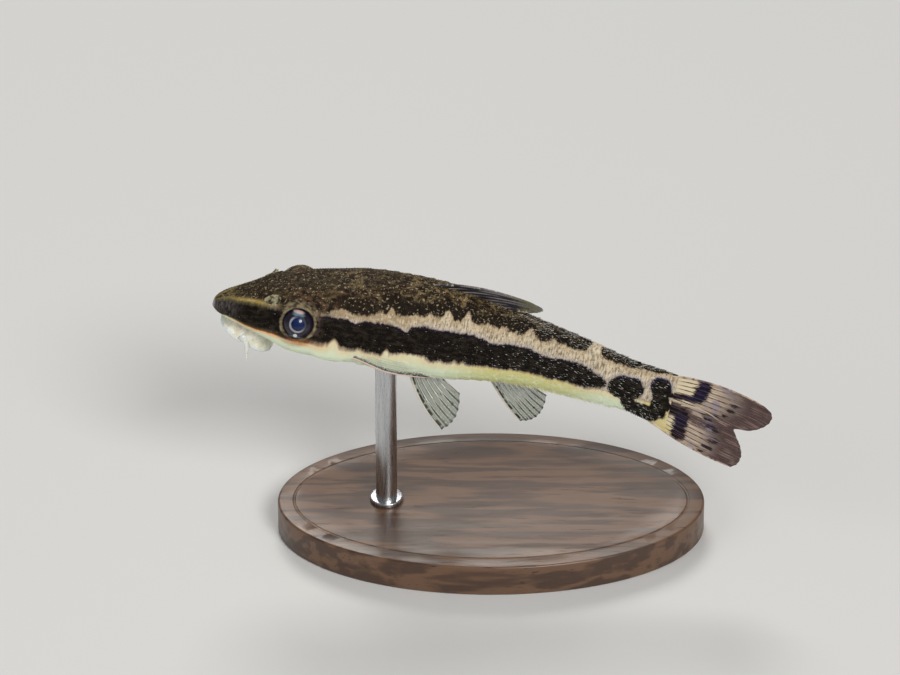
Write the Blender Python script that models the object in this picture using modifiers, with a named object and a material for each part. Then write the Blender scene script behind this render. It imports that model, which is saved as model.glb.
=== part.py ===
"""Otocinclus, a small armoured catfish 42 mm long, as a life-size display model on a stand.

The fish is described in its own frame, in millimetres: x runs back from the tip of the snout, z points
to the back, y to the right, so that its left side is -y. bend_tail swings the tail to the left, and the
empty fish_axis carries the whole fish, snout towards -X and nose up. Lengths become metres in new_object.
"""

import math

import bmesh
import bpy
import numpy as np
from mathutils import Vector

MM = 0.001
GAP = 0.3

# The fish on its stand.
PITCH = math.radians(12.0)
SNOUT_PLACE = (-20.55, 0.0, 20.0)
BASE_LENGTH = 32.0
BASE_WIDTH = 18.0
BASE_HEIGHT = 2.5
BASE_BEVEL = 0.5
ROD_RADIUS = 0.8
ROD_STATION = 13.4
ROD_HOLE_DEPTH = 1.6

# The tail swings to the left between these stations.
SWING = math.radians(20.0)
SWING_START = 15.0
SWING_END = 35.0

# The body from snout to tail base: station, half width, height of the back, height of the belly, height
# of the widest line as a share of the depth, and squareness of the section above and below that line.
BODY = {
    "snout tip": (0.0, 0.00, 0.12, -0.12, 0.50, 2.0, 2.0),
    "upper lip": (1.2, 1.85, 0.90, -0.25, 0.42, 2.1, 2.6),
    "mouth": (2.5, 2.35, 1.74, -0.60, 0.40, 2.1, 2.8),
    "nostril": (4.2, 2.75, 2.88, -1.15, 0.38, 2.2, 3.0),
    "eye": (6.4, 3.05, 3.60, -1.78, 0.36, 2.5, 3.2),
    "gill cover": (9.0, 3.40, 4.20, -1.68, 0.34, 2.4, 3.2),
    "pectoral fin": (11.5, 3.60, 4.75, -1.62, 0.34, 2.2, 3.2),
    "belly": (14.5, 3.50, 5.00, -2.00, 0.36, 2.0, 3.0),
    "dorsal fin": (17.5, 3.15, 4.90, -2.00, 0.39, 2.0, 2.8),
    "back of dorsal fin": (20.5, 2.65, 4.45, -1.70, 0.42, 2.0, 2.6),
    "anal fin": (24.0, 2.00, 3.75, -1.40, 0.45, 2.1, 2.5),
    "peduncle": (28.0, 1.40, 3.25, -1.40, 0.48, 2.2, 2.4),
    "thin of peduncle": (31.5, 0.95, 2.90, -1.30, 0.50, 2.2, 2.3),
    "tail base": (34.2, 0.50, 3.05, -1.70, 0.50, 2.0, 2.0),
}
SNOUT_START = 0.012
HEAD_END = 10.6
HEAD_SLANT = 0.6
SLANT_REACH = 5.0
TORSO_END = 24.0
TAIL_END = 34.2
HEAD_RINGS = 24
SNOUT_FINENESS = 1.6
SMALLEST_PLATE = 0.3

# The outside of the body, moved out by the gap, that trims what grows from it.
TRIM_RINGS = 60
TRIM_FINENESS = 1.5

# Bony plates: rings one scute long, and the edges of the rows on one side, in degrees up from the flank.
SCUTE = 1.0
SCUTE_LIFT = 0.06
SCUTE_RELIEF = 0.11
SCUTE_STEP = 0.2
ROW_EDGES = (90.0, 56.0, 27.0, 2.0, -25.0, -52.0, -90.0)
ROW_GROOVE = 0.05
ROW_BULGE = 0.14
FIRST_RING_LOW = 0.5
LAST_RING_LOW = 0.2

# The cheek and gill cover, a low rounded plate: its middle, half its length and height, and how far it stands out.
GILL_COVER_STATION = 8.9
GILL_COVER_ANGLE = -8.0
GILL_COVER_REACH = 1.5
GILL_COVER_SPREAD = 34.0
GILL_COVER_RISE = 0.16
GILL_COVER_STEEPNESS = 2.2
GILL_COVER_EDGE = 1.15

EYE_RADIUS = 1.08
EYE_STATION = 6.18
EYE_ANGLE = math.radians(17.0)
EYE_UP = math.radians(24.0)
EYE_FORWARD = math.radians(6.0)
EYE_DEPTH = 0.3
RIM_RADIUS = 1.42
RIM_FOOT_RADIUS = 1.8
RIM_HEIGHT = 1.0
RIM_LIFT = 0.38
RIM_BEVEL = 0.12

NOSTRIL_STATION = 4.05
NOSTRIL_ANGLE = math.radians(50.0)
NOSTRIL_FLAP = (0.54, 0.42, 0.34)
NOSTRIL_FLAP_SINK = 0.08
NOSTRIL_FLAP_LEAN = math.radians(-30.0)
NOSTRIL_PIT = 0.2
NOSTRIL_PIT_AHEAD = 0.5

MOUTH_PLACE = (2.85, 0.0, -1.97)
MOUTH_TILT = math.radians(22.0)
MOUTH_LENGTH = 1.13
MOUTH_WIDTH = 0.98
MOUTH_STEPS = 28
# The cup turned about its own axis, as radius and height: down the outside, round the lip and up the inside.
MOUTH_PROFILE = (
    (0.0, 2.0),
    (1.35, 2.0),
    (1.55, 1.3),
    (1.72, 0.8),
    (1.92, 0.38),
    (1.96, 0.14),
    (1.78, 0.0),
    (1.50, 0.10),
    (1.00, 0.38),
    (0.0, 0.45),
)
BARBEL_ROOT = (2.55, -1.6, -1.6)
BARBEL_TIP = (3.17, -2.1, -2.84)
BARBEL_RADIUS = 0.20
BARBEL_TAPER = 0.55
BARBEL_BOW = 0.12
BARBEL_POINTS = 4

# Fins: half thickness of the skin between the rays, of a ray at its root, and of any tip.
SKIN_HALF = 0.25
RAY_HALF = 0.37
TIP_HALF = 0.12
RAY_STEPS = 7
SCALLOP = 0.07
FORK_PLACE = 0.25
FORK_RIDGE = 0.7
FORK_START = 0.45
FORK_LENGTH = 0.25
SLIM_LENGTH = 0.45

# The rear margins: share of the way from the first ray to the last, station and height.
DORSAL_MARGIN = (
    (0.0, 23.2, 5.15),
    (0.25, 23.72, 5.02),
    (0.5, 23.9, 4.82),
    (0.8, 23.6, 4.55),
    (1.0, 23.1, 4.35),
)
# The tail fin's makes two rounded lobes.
TAIL_MARGIN = (
    (0.0, 41.6, 3.15),
    (0.067, 42.2, 2.82),
    (0.133, 42.42, 2.4),
    (0.267, 42.0, 1.5),
    (0.4, 40.95, 0.7),
    (0.48, 39.85, 0.36),
    (0.55, 40.15, -0.15),
    (0.667, 40.65, -0.85),
    (0.8, 40.92, -1.65),
    (0.9, 40.82, -2.3),
    (1.0, 40.4, -2.8),
)

# Each fin is a fan of rays from the first to the last, each by its root, its tip and the bulge of its middle.
DORSAL_FIN = {
    "first": ((16.6, 0, 4.8), (23.2, 0, 5.15), (-0.3, 0, 0.5)),
    "last": ((20.2, 0, 4.0), (23.1, 0, 4.35), (0.0, 0, 0.1)),
    "count": 8,
    "margin": DORSAL_MARGIN,
}
ANAL_FIN = {
    "first": ((20.8, 0, -1.1), (24.3, 0, -5.0), (-0.1, 0, -0.3)),
    "last": ((22.8, 0, -0.9), (25.7, 0, -2.2), (0.0, 0, -0.1)),
    "count": 6,
    "tip_bow": (0.5, 0, -0.5),
}
CAUDAL_FIN = {
    "first": ((34.5, 0, 2.8), (41.6, 0, 3.15), (0.0, 0, 0.52)),
    "last": ((34.5, 0, -1.6), (40.4, 0, -2.8), (0.0, 0, -0.3)),
    "count": 16,
    "margin": TAIL_MARGIN,
}
LEFT_PELVIC_FIN = {
    "first": ((15.1, -2.3, -1.2), (18.5, -4.0, -4.8), (-0.3, 0, -0.35)),
    "last": ((16.8, -1.3, -1.4), (19.3, -2.2, -2.5), (0.0, 0, -0.1)),
    "count": 6,
    "tip_bow": (0.5, 0, -0.35),
}

# The pectoral fin lies folded along the flank: its root, its longest ray, and how the rays change to the last.
PECTORAL_RAYS = 7
PECTORAL_STATION = 10.4
PECTORAL_ROOT_LENGTH = 0.5
PECTORAL_LENGTH = 6.7
PECTORAL_SHORTENING = 2.9
PECTORAL_ANGLE = -9.0
PECTORAL_SPREAD = 15.0
PECTORAL_TURN = -5.0
PECTORAL_CLEARANCE = 0.70
PECTORAL_TIP_LIFT = 0.35
PECTORAL_TIP_LIFT_LOSS = 0.3

# Colour, roughness and share of metal of each kind of material.
MATERIALS = {
    "skin": ((0.06, 0.05, 0.035), 0.5, 0.0),
    "lip": ((0.62, 0.62, 0.55), 0.5, 0.0),
    "eye": ((0.01, 0.015, 0.05), 0.1, 0.0),
    "fin": ((0.25, 0.24, 0.17), 0.4, 0.0),
    "walnut": ((0.12, 0.06, 0.03), 0.45, 0.0),
    "steel": ((0.55, 0.56, 0.58), 0.3, 1.0),
}


def curve_through(places, heights):
    """A smooth curve through the points that rises and falls only where they do."""
    places = np.asarray(places, float)
    heights = np.asarray(heights, float)
    steps = np.diff(places)
    slopes = np.diff(heights) / steps
    tangents = np.zeros(len(places))
    tangents[0], tangents[-1] = slopes[0], slopes[-1]
    for i in range(1, len(places) - 1):
        if slopes[i - 1] * slopes[i] > 0:
            before = 2 * steps[i] + steps[i - 1]
            after = steps[i] + 2 * steps[i - 1]
            tangents[i] = (before + after) / (before / slopes[i - 1] + after / slopes[i])

    def height_at(place):
        place = np.clip(place, places[0], places[-1])
        i = np.clip(np.searchsorted(places, place, side="right") - 1, 0, len(places) - 2)
        t = (place - places[i]) / steps[i]
        rise = tangents[i] * t * (1 - t) ** 2 + tangents[i + 1] * t * t * (t - 1)
        return heights[i] * (1 + 2 * t) * (1 - t) ** 2 + heights[i + 1] * t * t * (3 - 2 * t) + steps[i] * rise

    return height_at


ROUNDED_STATIONS = [math.sqrt(row[0]) for row in BODY.values()]
HALF_WIDTH, BACK, BELLY, WIDEST, SQUARE_ABOVE, SQUARE_BELOW = (
    curve_through(ROUNDED_STATIONS, [row[column] for row in BODY.values()]) for column in range(1, 7)
)


def body_point(station, angle, grow=0.0):
    """A point of the body's surface, angle measured up from the left flank, moved out by grow."""
    place = np.sqrt(np.maximum(station, 0.0))
    back, belly = BACK(place), BELLY(place)
    widest = belly + WIDEST(place) * (back - belly)
    up = np.sin(angle)
    out = np.cos(angle)
    squareness = np.where(up >= 0, SQUARE_ABOVE(place), SQUARE_BELOW(place))
    reach = np.where(up >= 0, back - widest, widest - belly) + grow
    y = -(HALF_WIDTH(place) + grow) * np.sign(out) * np.abs(out) ** (2 / squareness)
    z = widest + reach * np.sign(up) * np.abs(up) ** (2 / squareness)
    return np.stack([station + 0 * y, y, z], axis=-1)


def bend_tail(points):
    """Swings the stations past SWING_START to the left, along an arc."""
    x, y, z = np.moveaxis(np.asarray(points, float), -1, 0)
    curvature = SWING / (SWING_END - SWING_START)
    turn = curvature * np.clip(x - SWING_START, 0.0, SWING_END - SWING_START)
    beyond = np.maximum(x - SWING_END, 0.0)
    axis_x = np.minimum(x, SWING_START) + np.sin(turn) / curvature + beyond * math.cos(SWING)
    axis_y = -(1 - np.cos(turn)) / curvature - beyond * math.sin(SWING)
    return np.stack([axis_x + y * np.sin(turn), axis_y + y * np.cos(turn), z], axis=-1)


def new_collection(name):
    collection = bpy.data.collections.new(name)
    bpy.context.scene.collection.children.link(collection)
    return collection


def new_object(name, points, faces, collection):
    mesh = bpy.data.meshes.new(name)
    mesh.from_pydata((np.asarray(points) * MM).tolist(), [], faces)
    work = bmesh.new()
    work.from_mesh(mesh)
    bmesh.ops.recalc_face_normals(work, faces=work.faces)
    work.to_mesh(mesh)
    work.free()
    obj = bpy.data.objects.new(name, mesh)
    collection.objects.link(obj)
    return obj


def loft(name, rings, collection):
    """A closed solid through rings of equally many points, with a fan of triangles over each end."""
    count = len(rings[0])
    points = [point for ring in rings for point in ring]
    faces = []
    for k in range(len(rings) - 1):
        for i in range(count):
            j = (i + 1) % count
            faces.append((k * count + i, k * count + j, (k + 1) * count + j, (k + 1) * count + i))
    for ring, first in ((rings[0], 0), (rings[-1], (len(rings) - 1) * count)):
        points.append(np.mean(ring, axis=0))
        faces += [(len(points) - 1, first + i, first + (i + 1) % count) for i in range(count)]
    return new_object(name, points, faces, collection)


def apply_modifiers(obj):
    graph = bpy.context.evaluated_depsgraph_get()
    old_mesh = obj.data
    obj.data = bpy.data.meshes.new_from_object(obj.evaluated_get(graph))
    obj.modifiers.clear()
    bpy.data.meshes.remove(old_mesh)


def keep_largest_surface(obj):
    work = bmesh.new()
    work.from_mesh(obj.data)
    unseen = set(work.faces)
    surfaces = []
    while unseen:
        surface, edge_of_search = set(), [unseen.pop()]
        while edge_of_search:
            face = edge_of_search.pop()
            surface.add(face)
            for edge in face.edges:
                for neighbour in edge.link_faces:
                    if neighbour in unseen:
                        unseen.remove(neighbour)
                        edge_of_search.append(neighbour)
        surfaces.append(surface)
    largest = max(surfaces, key=lambda surface: sum(face.calc_area() for face in surface))
    loose = [face for surface in surfaces if surface is not largest for face in surface]
    bmesh.ops.delete(work, geom=loose, context="FACES")
    bmesh.ops.delete(work, geom=[vert for vert in work.verts if not vert.link_faces], context="VERTS")
    work.to_mesh(obj.data)
    work.free()


def move_to(obj, collection):
    for user in list(obj.users_collection):
        user.objects.unlink(obj)
    collection.objects.link(obj)


def boolean(obj, others, operation):
    """Joins the others to the object, or cuts them from it, and removes them."""
    collection = new_collection(operation.lower())
    for other in others:
        move_to(other, collection)
    modifier = obj.modifiers.new(operation, "BOOLEAN")
    modifier.operation = operation
    modifier.operand_type = "COLLECTION"
    modifier.collection = collection
    modifier.solver = "EXACT"
    apply_modifiers(obj)
    for other in others:
        bpy.data.objects.remove(other)
    bpy.data.collections.remove(collection)
    keep_largest_surface(obj)


def side_angles(fine=1):
    """Angles round the whole section: each row's edge and its middle, on the left side and then the right."""
    left = [ROW_EDGES[0]]
    for upper, lower in zip(ROW_EDGES, ROW_EDGES[1:]):
        left += [upper + (lower - upper) * k / (2 * fine) for k in range(1, 2 * fine + 1)]
    right = [180.0 - angle for angle in left[-2:0:-1]]
    return np.radians(left + right)


def row_pattern(angles):
    """1 along the middle of each row of scutes and 0 at its edges, on both sides."""
    degrees = np.degrees(np.arcsin(np.sin(angles)))
    edges = np.array(ROW_EDGES[::-1])
    i = np.clip(np.searchsorted(edges, degrees, side="right") - 1, 0, len(edges) - 2)
    share = (degrees - edges[i]) / (edges[i + 1] - edges[i])
    return 1 - np.abs(2 * share - 1)


def slanted(station, angles):
    """Leans the rings back over the gill opening, and fades out away from it."""
    fade = np.clip(1 - np.abs(station - HEAD_END) / SLANT_REACH, 0.0, 1.0)
    return station + HEAD_SLANT * np.sin(angles) * fade


def plated_rings(start, end):
    """Rings of the armoured body: each scute rises towards its rear edge and drops behind it."""
    angles = side_angles()
    middle = row_pattern(angles)
    rings = []
    stations = [(start, FIRST_RING_LOW)]
    edge = start
    while edge + SCUTE < end - SMALLEST_PLATE:
        edge += SCUTE
        stations += [(edge, 0.0), (edge + SCUTE_STEP, 1.0)]
    stations.append((end, LAST_RING_LOW))
    for station, low in stations:
        bulge = ROW_BULGE * (2 * middle - 1) if start < station < end else 0.0
        places = slanted(station, angles) + bulge
        rise = SCUTE_LIFT - SCUTE_RELIEF * low - ROW_GROOVE * (1 - middle)
        rings.append(body_point(places, angles, rise))
    return [bend_tail(ring) for ring in rings]


def gill_cover_rise(places, angles):
    """The cheek and gill cover stand out behind the eye as one rounded plate."""
    degrees = np.degrees(np.arcsin(np.sin(angles)))
    along = (places - GILL_COVER_STATION) / GILL_COVER_REACH
    around = (degrees - GILL_COVER_ANGLE) / GILL_COVER_SPREAD
    away = np.hypot(along, around)
    return GILL_COVER_RISE * np.clip(GILL_COVER_STEEPNESS * (GILL_COVER_EDGE - away), 0.0, 1.0)


def make_head(collection):
    angles = side_angles()
    shares = np.linspace(0.0, 1.0, HEAD_RINGS + 1)[1:]
    stations = HEAD_END * shares**SNOUT_FINENESS
    rings = []
    for station in [SNOUT_START, *stations]:
        places = slanted(station, angles)
        rings.append(body_point(places, angles, gill_cover_rise(places, angles)))
    head = loft("head", [bend_tail(ring) for ring in rings], collection)
    rims_and_flaps, sockets_and_pits = [], []
    for side in (-1, 1):
        rims_and_flaps += [orbit_rim(side, collection), nostril_flap(side, collection)]
        sockets_and_pits += [ball(eye_centre(side), EYE_RADIUS + GAP, collection), nostril_pit(side, collection)]
    boolean(head, rims_and_flaps, "UNION")
    boolean(head, sockets_and_pits, "DIFFERENCE")
    return head


def mirrored(point, side):
    return np.array([point[0], -side * point[1], point[2]])


def eye_axis(side):
    across = math.cos(EYE_UP) * math.cos(EYE_FORWARD)
    return np.array([-math.cos(EYE_UP) * math.sin(EYE_FORWARD), side * across, math.sin(EYE_UP)])


def eye_centre(side):
    surface = mirrored(body_point(EYE_STATION, EYE_ANGLE), side)
    return surface - EYE_DEPTH * eye_axis(side)


def ball(centre, radius, collection, segments=20, rings=12):
    mesh = bpy.data.meshes.new("ball")
    work = bmesh.new()
    bmesh.ops.create_uvsphere(work, u_segments=segments, v_segments=rings, radius=radius * MM)
    work.to_mesh(mesh)
    work.free()
    obj = bpy.data.objects.new("ball", mesh)
    obj.location = [value * MM for value in centre]
    collection.objects.link(obj)
    return obj


def apply_placement(obj):
    bpy.context.view_layer.update()
    obj.data.transform(obj.matrix_world)
    obj.matrix_world.identity()
    obj.location = (0, 0, 0)
    obj.rotation_euler = (0, 0, 0)
    obj.scale = (1, 1, 1)


def orbit_rim(side, collection):
    """The raised edge of the orbit, a low collar square to the way that the eye looks."""
    bpy.ops.mesh.primitive_cone_add(
        vertices=28, radius1=RIM_FOOT_RADIUS * MM, radius2=RIM_RADIUS * MM, depth=RIM_HEIGHT * MM
    )
    rim = bpy.context.object
    move_to(rim, collection)
    bevel = rim.modifiers.new("rounded edge", "BEVEL")
    bevel.width = RIM_BEVEL * MM
    bevel.segments = 2
    bevel.limit_method = "ANGLE"
    apply_modifiers(rim)
    axis = eye_axis(side)
    rim.location = (eye_centre(side) + (EYE_DEPTH + RIM_LIFT - RIM_HEIGHT / 2) * axis) * MM
    rim.rotation_euler = Vector(axis).to_track_quat("Z", "Y").to_euler()
    apply_placement(rim)
    return rim


def nostril_flap(side, collection):
    """The flap of skin between the two openings of a nostril, leaning back."""
    flap = ball((0, 0, 0), 1.0, collection, 12, 8)
    flap.location = mirrored(body_point(NOSTRIL_STATION, NOSTRIL_ANGLE, -NOSTRIL_FLAP_SINK), side) * MM
    flap.scale = NOSTRIL_FLAP
    flap.rotation_euler = (side * (math.pi / 2 - NOSTRIL_ANGLE), NOSTRIL_FLAP_LEAN, 0)
    apply_placement(flap)
    return flap


def nostril_pit(side, collection):
    place = mirrored(body_point(NOSTRIL_STATION - NOSTRIL_PIT_AHEAD, NOSTRIL_ANGLE), side)
    return ball(place, NOSTRIL_PIT, collection, 8, 6)


def grown_body(collection):
    """The outside of the whole body moved out by the gap, which trims what grows from it."""
    angles = side_angles(2)
    stations = TAIL_END * np.linspace(0.0, 1.0, TRIM_RINGS) ** TRIM_FINENESS
    rings = [body_point(station, angles, GAP) for station in np.maximum(stations, SNOUT_START)]
    rings[0] = rings[0] - [GAP, 0, 0]
    rings[-1] = rings[-1] + [GAP, 0, 0]
    return loft("grown body", [bend_tail(ring) for ring in rings], collection)


def make_mouth(collection):
    """The sucker mouth: a turned cup with a rounded lip, tipped down at the back, and two barbels."""
    profile = bpy.data.meshes.new("mouth")
    points = [(radius * MM, 0, height * MM) for radius, height in MOUTH_PROFILE]
    profile.from_pydata(points, [(i, i + 1) for i in range(len(points) - 1)], [])
    mouth = bpy.data.objects.new("mouth", profile)
    collection.objects.link(mouth)
    turning = mouth.modifiers.new("turned", "SCREW")
    turning.steps = turning.render_steps = MOUTH_STEPS
    turning.use_merge_vertices = True
    turning.merge_threshold = 1e-6
    apply_modifiers(mouth)
    mouth.location = Vector(MOUTH_PLACE) * MM
    mouth.rotation_euler = (0, MOUTH_TILT, 0)
    mouth.scale = (MOUTH_LENGTH, MOUTH_WIDTH, 1)
    apply_placement(mouth)
    boolean(mouth, [barbel(side, collection) for side in (-1, 1)], "UNION")
    boolean(mouth, [grown_body(collection)], "DIFFERENCE")
    return mouth


def barbel(side, collection):
    """A short feeler at the corner of the mouth, a tapering tube bowed backward."""
    root, tip = (mirrored(point, -side) for point in (BARBEL_ROOT, BARBEL_TIP))
    line = bpy.data.curves.new("barbel", "CURVE")
    line.dimensions = "3D"
    line.bevel_depth = BARBEL_RADIUS * MM
    line.bevel_resolution = 2
    line.use_fill_caps = True
    spline = line.splines.new("POLY")
    spline.points.add(BARBEL_POINTS - 1)
    for point, share in zip(spline.points, np.linspace(0.0, 1.0, BARBEL_POINTS)):
        middle = root + share * (tip - root) + [BARBEL_BOW * math.sin(math.pi * share), 0, 0]
        point.co = (*(middle * MM), 1)
        point.radius = 1 - BARBEL_TAPER * share
    return mesh_of_curve(line, collection)


def mesh_of_curve(curve, collection):
    guide = bpy.data.objects.new(curve.name, curve)
    collection.objects.link(guide)
    graph = bpy.context.evaluated_depsgraph_get()
    mesh = bpy.data.meshes.new_from_object(guide.evaluated_get(graph))
    bpy.data.objects.remove(guide)
    work = bmesh.new()
    work.from_mesh(mesh)
    bmesh.ops.remove_doubles(work, verts=work.verts, dist=1e-7)
    bmesh.ops.recalc_face_normals(work, faces=work.faces)
    work.to_mesh(mesh)
    work.free()
    obj = bpy.data.objects.new(curve.name, mesh)
    collection.objects.link(obj)
    bpy.data.curves.remove(curve)
    return obj


def bowed(root, tip, bulge):
    """Points of one ray from root to tip, with its middle moved by bulge."""
    shares = np.linspace(0.0, 1.0, RAY_STEPS + 1)[:, None]
    return (1 - shares) * np.array(root) + shares * np.array(tip) + 4 * shares * (1 - shares) * np.array(bulge)


def fan(first, last, count, tip_bow=(0.0, 0.0, 0.0), margin=()):
    """Rays spread evenly from the first (root, tip, bulge) to the last, with the row of tips bowed or on a margin."""
    rays = []
    for share in np.linspace(0.0, 1.0, count):
        root, tip, bulge = ((1 - share) * np.array(a) + share * np.array(b) for a, b in zip(first, last))
        tip = tip + 4 * share * (1 - share) * np.array(tip_bow)
        if margin:
            shares, stations, heights = zip(*margin)
            tip = np.array([curve_through(shares, stations)(share), 0.0, curve_through(shares, heights)(share)])
        rays.append(bowed(root, tip, bulge))
    return rays


def fin(name, rays, collection):
    """A closed thin fin: the rays stand out as ridges on both faces, and fork towards their tips."""
    rays = np.array(rays)
    shares = np.linspace(0.0, 1.0, rays.shape[1])
    columns, ridges = [], []
    for i in range(len(rays)):
        columns.append(rays[i])
        ridges.append("ray")
        if i + 1 < len(rays):
            for across, kind in ((FORK_PLACE, "foot"), (0.5, "skin"), (1 - FORK_PLACE, "foot")):
                column = (1 - across) * rays[i] + across * rays[i + 1]
                shrink = SCALLOP * (1 - abs(2 * across - 1))
                columns.append(column[0] + (column - column[0]) * (1 - shrink))
                ridges.append(kind)
    surface = np.array(columns)
    along = np.gradient(surface, axis=1)
    sideways = np.gradient(surface, axis=0)
    normals = np.cross(sideways, along)
    normals /= np.linalg.norm(normals, axis=2)[..., None]
    fork = np.clip((shares - FORK_START) / FORK_LENGTH, 0.0, 1.0)
    slimming = np.clip((1.0 - shares) / SLIM_LENGTH, 0.0, 1.0)
    ridge = RAY_HALF - SKIN_HALF
    heights = {
        "ray": SKIN_HALF + ridge * (1 - fork),
        "foot": SKIN_HALF + FORK_RIDGE * ridge * fork,
        "skin": np.full(len(shares), SKIN_HALF),
    }
    half = np.array([TIP_HALF + (heights[kind] - TIP_HALF) * slimming for kind in ridges])[..., None]
    return shell(name, surface + normals * half, surface - normals * half, collection)


def shell(name, upper, lower, collection):
    """Closes two grids of equal size into one thin solid, with the same diagonals on both faces."""
    across, along = upper.shape[:2]
    points = np.concatenate([bend_tail(upper).reshape(-1, 3), bend_tail(lower).reshape(-1, 3)])
    below = across * along
    faces = []
    for i in range(across - 1):
        for j in range(along - 1):
            a, b = i * along + j, i * along + j + 1
            c, d = a + along, b + along
            for lift in (0, below):
                faces += [(a + lift, b + lift, d + lift), (a + lift, d + lift, c + lift)]
    border = [i * along for i in range(across)]
    border += [(across - 1) * along + j for j in range(1, along)]
    border += [i * along + along - 1 for i in range(across - 2, -1, -1)]
    border += list(range(along - 2, 0, -1))
    for a, b in zip(border, border[1:] + border[:1]):
        faces += [(a, b, b + below), (a, b + below, a + below)]
    return new_object(name, points, faces, collection)


def make_fins(collection):
    fins = [
        fin("dorsal_fin", fan(**DORSAL_FIN), collection),
        fin("anal_fin", fan(**ANAL_FIN), collection),
        fin("caudal_fin", fan(**CAUDAL_FIN), collection),
    ]
    for side, word in ((-1, "left"), (1, "right")):
        fins.append(fin("pectoral_fin_" + word, on_side(pectoral_rays(), side), collection))
        fins.append(fin("pelvic_fin_" + word, on_side(fan(**LEFT_PELVIC_FIN), side), collection))
    for each in fins:
        boolean(each, [grown_body(collection)], "DIFFERENCE")
    return fins


def on_side(rays, side):
    return np.array(rays) * [1, -side, 1]


def pectoral_rays():
    """The rays of the left pectoral fin, its spine lowest and standing off the flank the most."""
    shares = np.linspace(0.0, 1.0, RAY_STEPS + 1)
    rays = []
    for row in np.linspace(0.0, 1.0, PECTORAL_RAYS):
        root = PECTORAL_STATION + PECTORAL_ROOT_LENGTH * row
        station = root + shares * (PECTORAL_LENGTH - PECTORAL_SHORTENING * row)
        angle = np.radians(PECTORAL_ANGLE + PECTORAL_SPREAD * row + PECTORAL_TURN * shares)
        off = PECTORAL_CLEARANCE + shares * (PECTORAL_TIP_LIFT - PECTORAL_TIP_LIFT_LOSS * row)
        rays.append(np.stack([body_point(s, a, o) for s, a, o in zip(station, angle, off)]))
    return rays


def make_eye(side, name, collection):
    eye = ball(eye_centre(side), EYE_RADIUS, collection, 24, 14)
    eye.name = name
    return eye


def make_base(collection):
    mesh = bpy.data.meshes.new("stand_base")
    work = bmesh.new()
    bmesh.ops.create_cone(work, cap_ends=True, segments=72, radius1=1, radius2=1, depth=1)
    bmesh.ops.scale(work, vec=(BASE_LENGTH / 2 * MM, BASE_WIDTH / 2 * MM, BASE_HEIGHT * MM), verts=work.verts)
    bmesh.ops.translate(work, vec=(0, 0, BASE_HEIGHT / 2 * MM), verts=work.verts)
    work.to_mesh(mesh)
    work.free()
    base = bpy.data.objects.new("stand_base", mesh)
    collection.objects.link(base)
    bevel = base.modifiers.new("rounded edge", "BEVEL")
    bevel.width = BASE_BEVEL * MM
    bevel.segments = 3
    bevel.limit_method = "ANGLE"
    apply_modifiers(base)
    hole = cylinder("rod hole", ROD_RADIUS + GAP, BASE_HEIGHT - ROD_HOLE_DEPTH, BASE_HEIGHT + 1, collection)
    boolean(base, [hole], "DIFFERENCE")
    return base


def cylinder(name, radius, bottom, top, collection):
    """An upright round piece under the rod's place on the belly."""
    mesh = bpy.data.meshes.new(name)
    work = bmesh.new()
    depth = (top - bottom) * MM
    bmesh.ops.create_cone(work, cap_ends=True, segments=24, radius1=radius * MM, radius2=radius * MM, depth=depth)
    work.to_mesh(mesh)
    work.free()
    obj = bpy.data.objects.new(name, mesh)
    belly = float(BELLY(math.sqrt(ROD_STATION)))
    place = SNOUT_PLACE[0] + ROD_STATION * math.cos(PITCH) + belly * math.sin(PITCH)
    obj.location = (place * MM, 0, (bottom + top) / 2 * MM)
    collection.objects.link(obj)
    return obj


def make_rod(fish_axis, collection):
    bottom = BASE_HEIGHT - ROD_HOLE_DEPTH + GAP
    rod = cylinder("stand_rod", ROD_RADIUS, bottom, SNOUT_PLACE[2] - 1.0, collection)
    trim = grown_body(collection)
    trim.parent = fish_axis
    bpy.context.view_layer.update()
    boolean(rod, [trim], "DIFFERENCE")
    return rod


def give_material(obj, kind):
    colour, roughness, metallic = MATERIALS[kind]
    material = bpy.data.materials.new(obj.name + " " + kind)
    material.use_nodes = True
    shader = material.node_tree.nodes["Principled BSDF"]
    shader.inputs["Base Color"].default_value = (*colour, 1)
    shader.inputs["Roughness"].default_value = roughness
    shader.inputs["Metallic"].default_value = metallic
    obj.data.materials.clear()
    obj.data.materials.append(material)


def main():
    for obj in list(bpy.data.objects):
        bpy.data.objects.remove(obj)
    parts = new_collection("otocinclus")
    fish_axis = bpy.data.objects.new("fish_axis", None)
    fish_axis.location = [value * MM for value in SNOUT_PLACE]
    fish_axis.rotation_euler = (0, PITCH, 0)
    parts.objects.link(fish_axis)

    head = make_head(parts)
    torso = loft("torso", plated_rings(HEAD_END + GAP, TORSO_END - GAP / 2), parts)
    tail = loft("tail", plated_rings(TORSO_END + GAP / 2, TAIL_END), parts)
    mouth = make_mouth(parts)
    eyes = [make_eye(-1, "eye_left", parts), make_eye(1, "eye_right", parts)]
    fins = make_fins(parts)

    for kind, objects in (("skin", (head, torso, tail)), ("lip", (mouth,)), ("eye", eyes), ("fin", fins)):
        for obj in objects:
            give_material(obj, kind)
            obj.parent = fish_axis
    give_material(make_base(parts), "walnut")
    give_material(make_rod(fish_axis, parts), "steel")


main()
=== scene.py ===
import math

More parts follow.
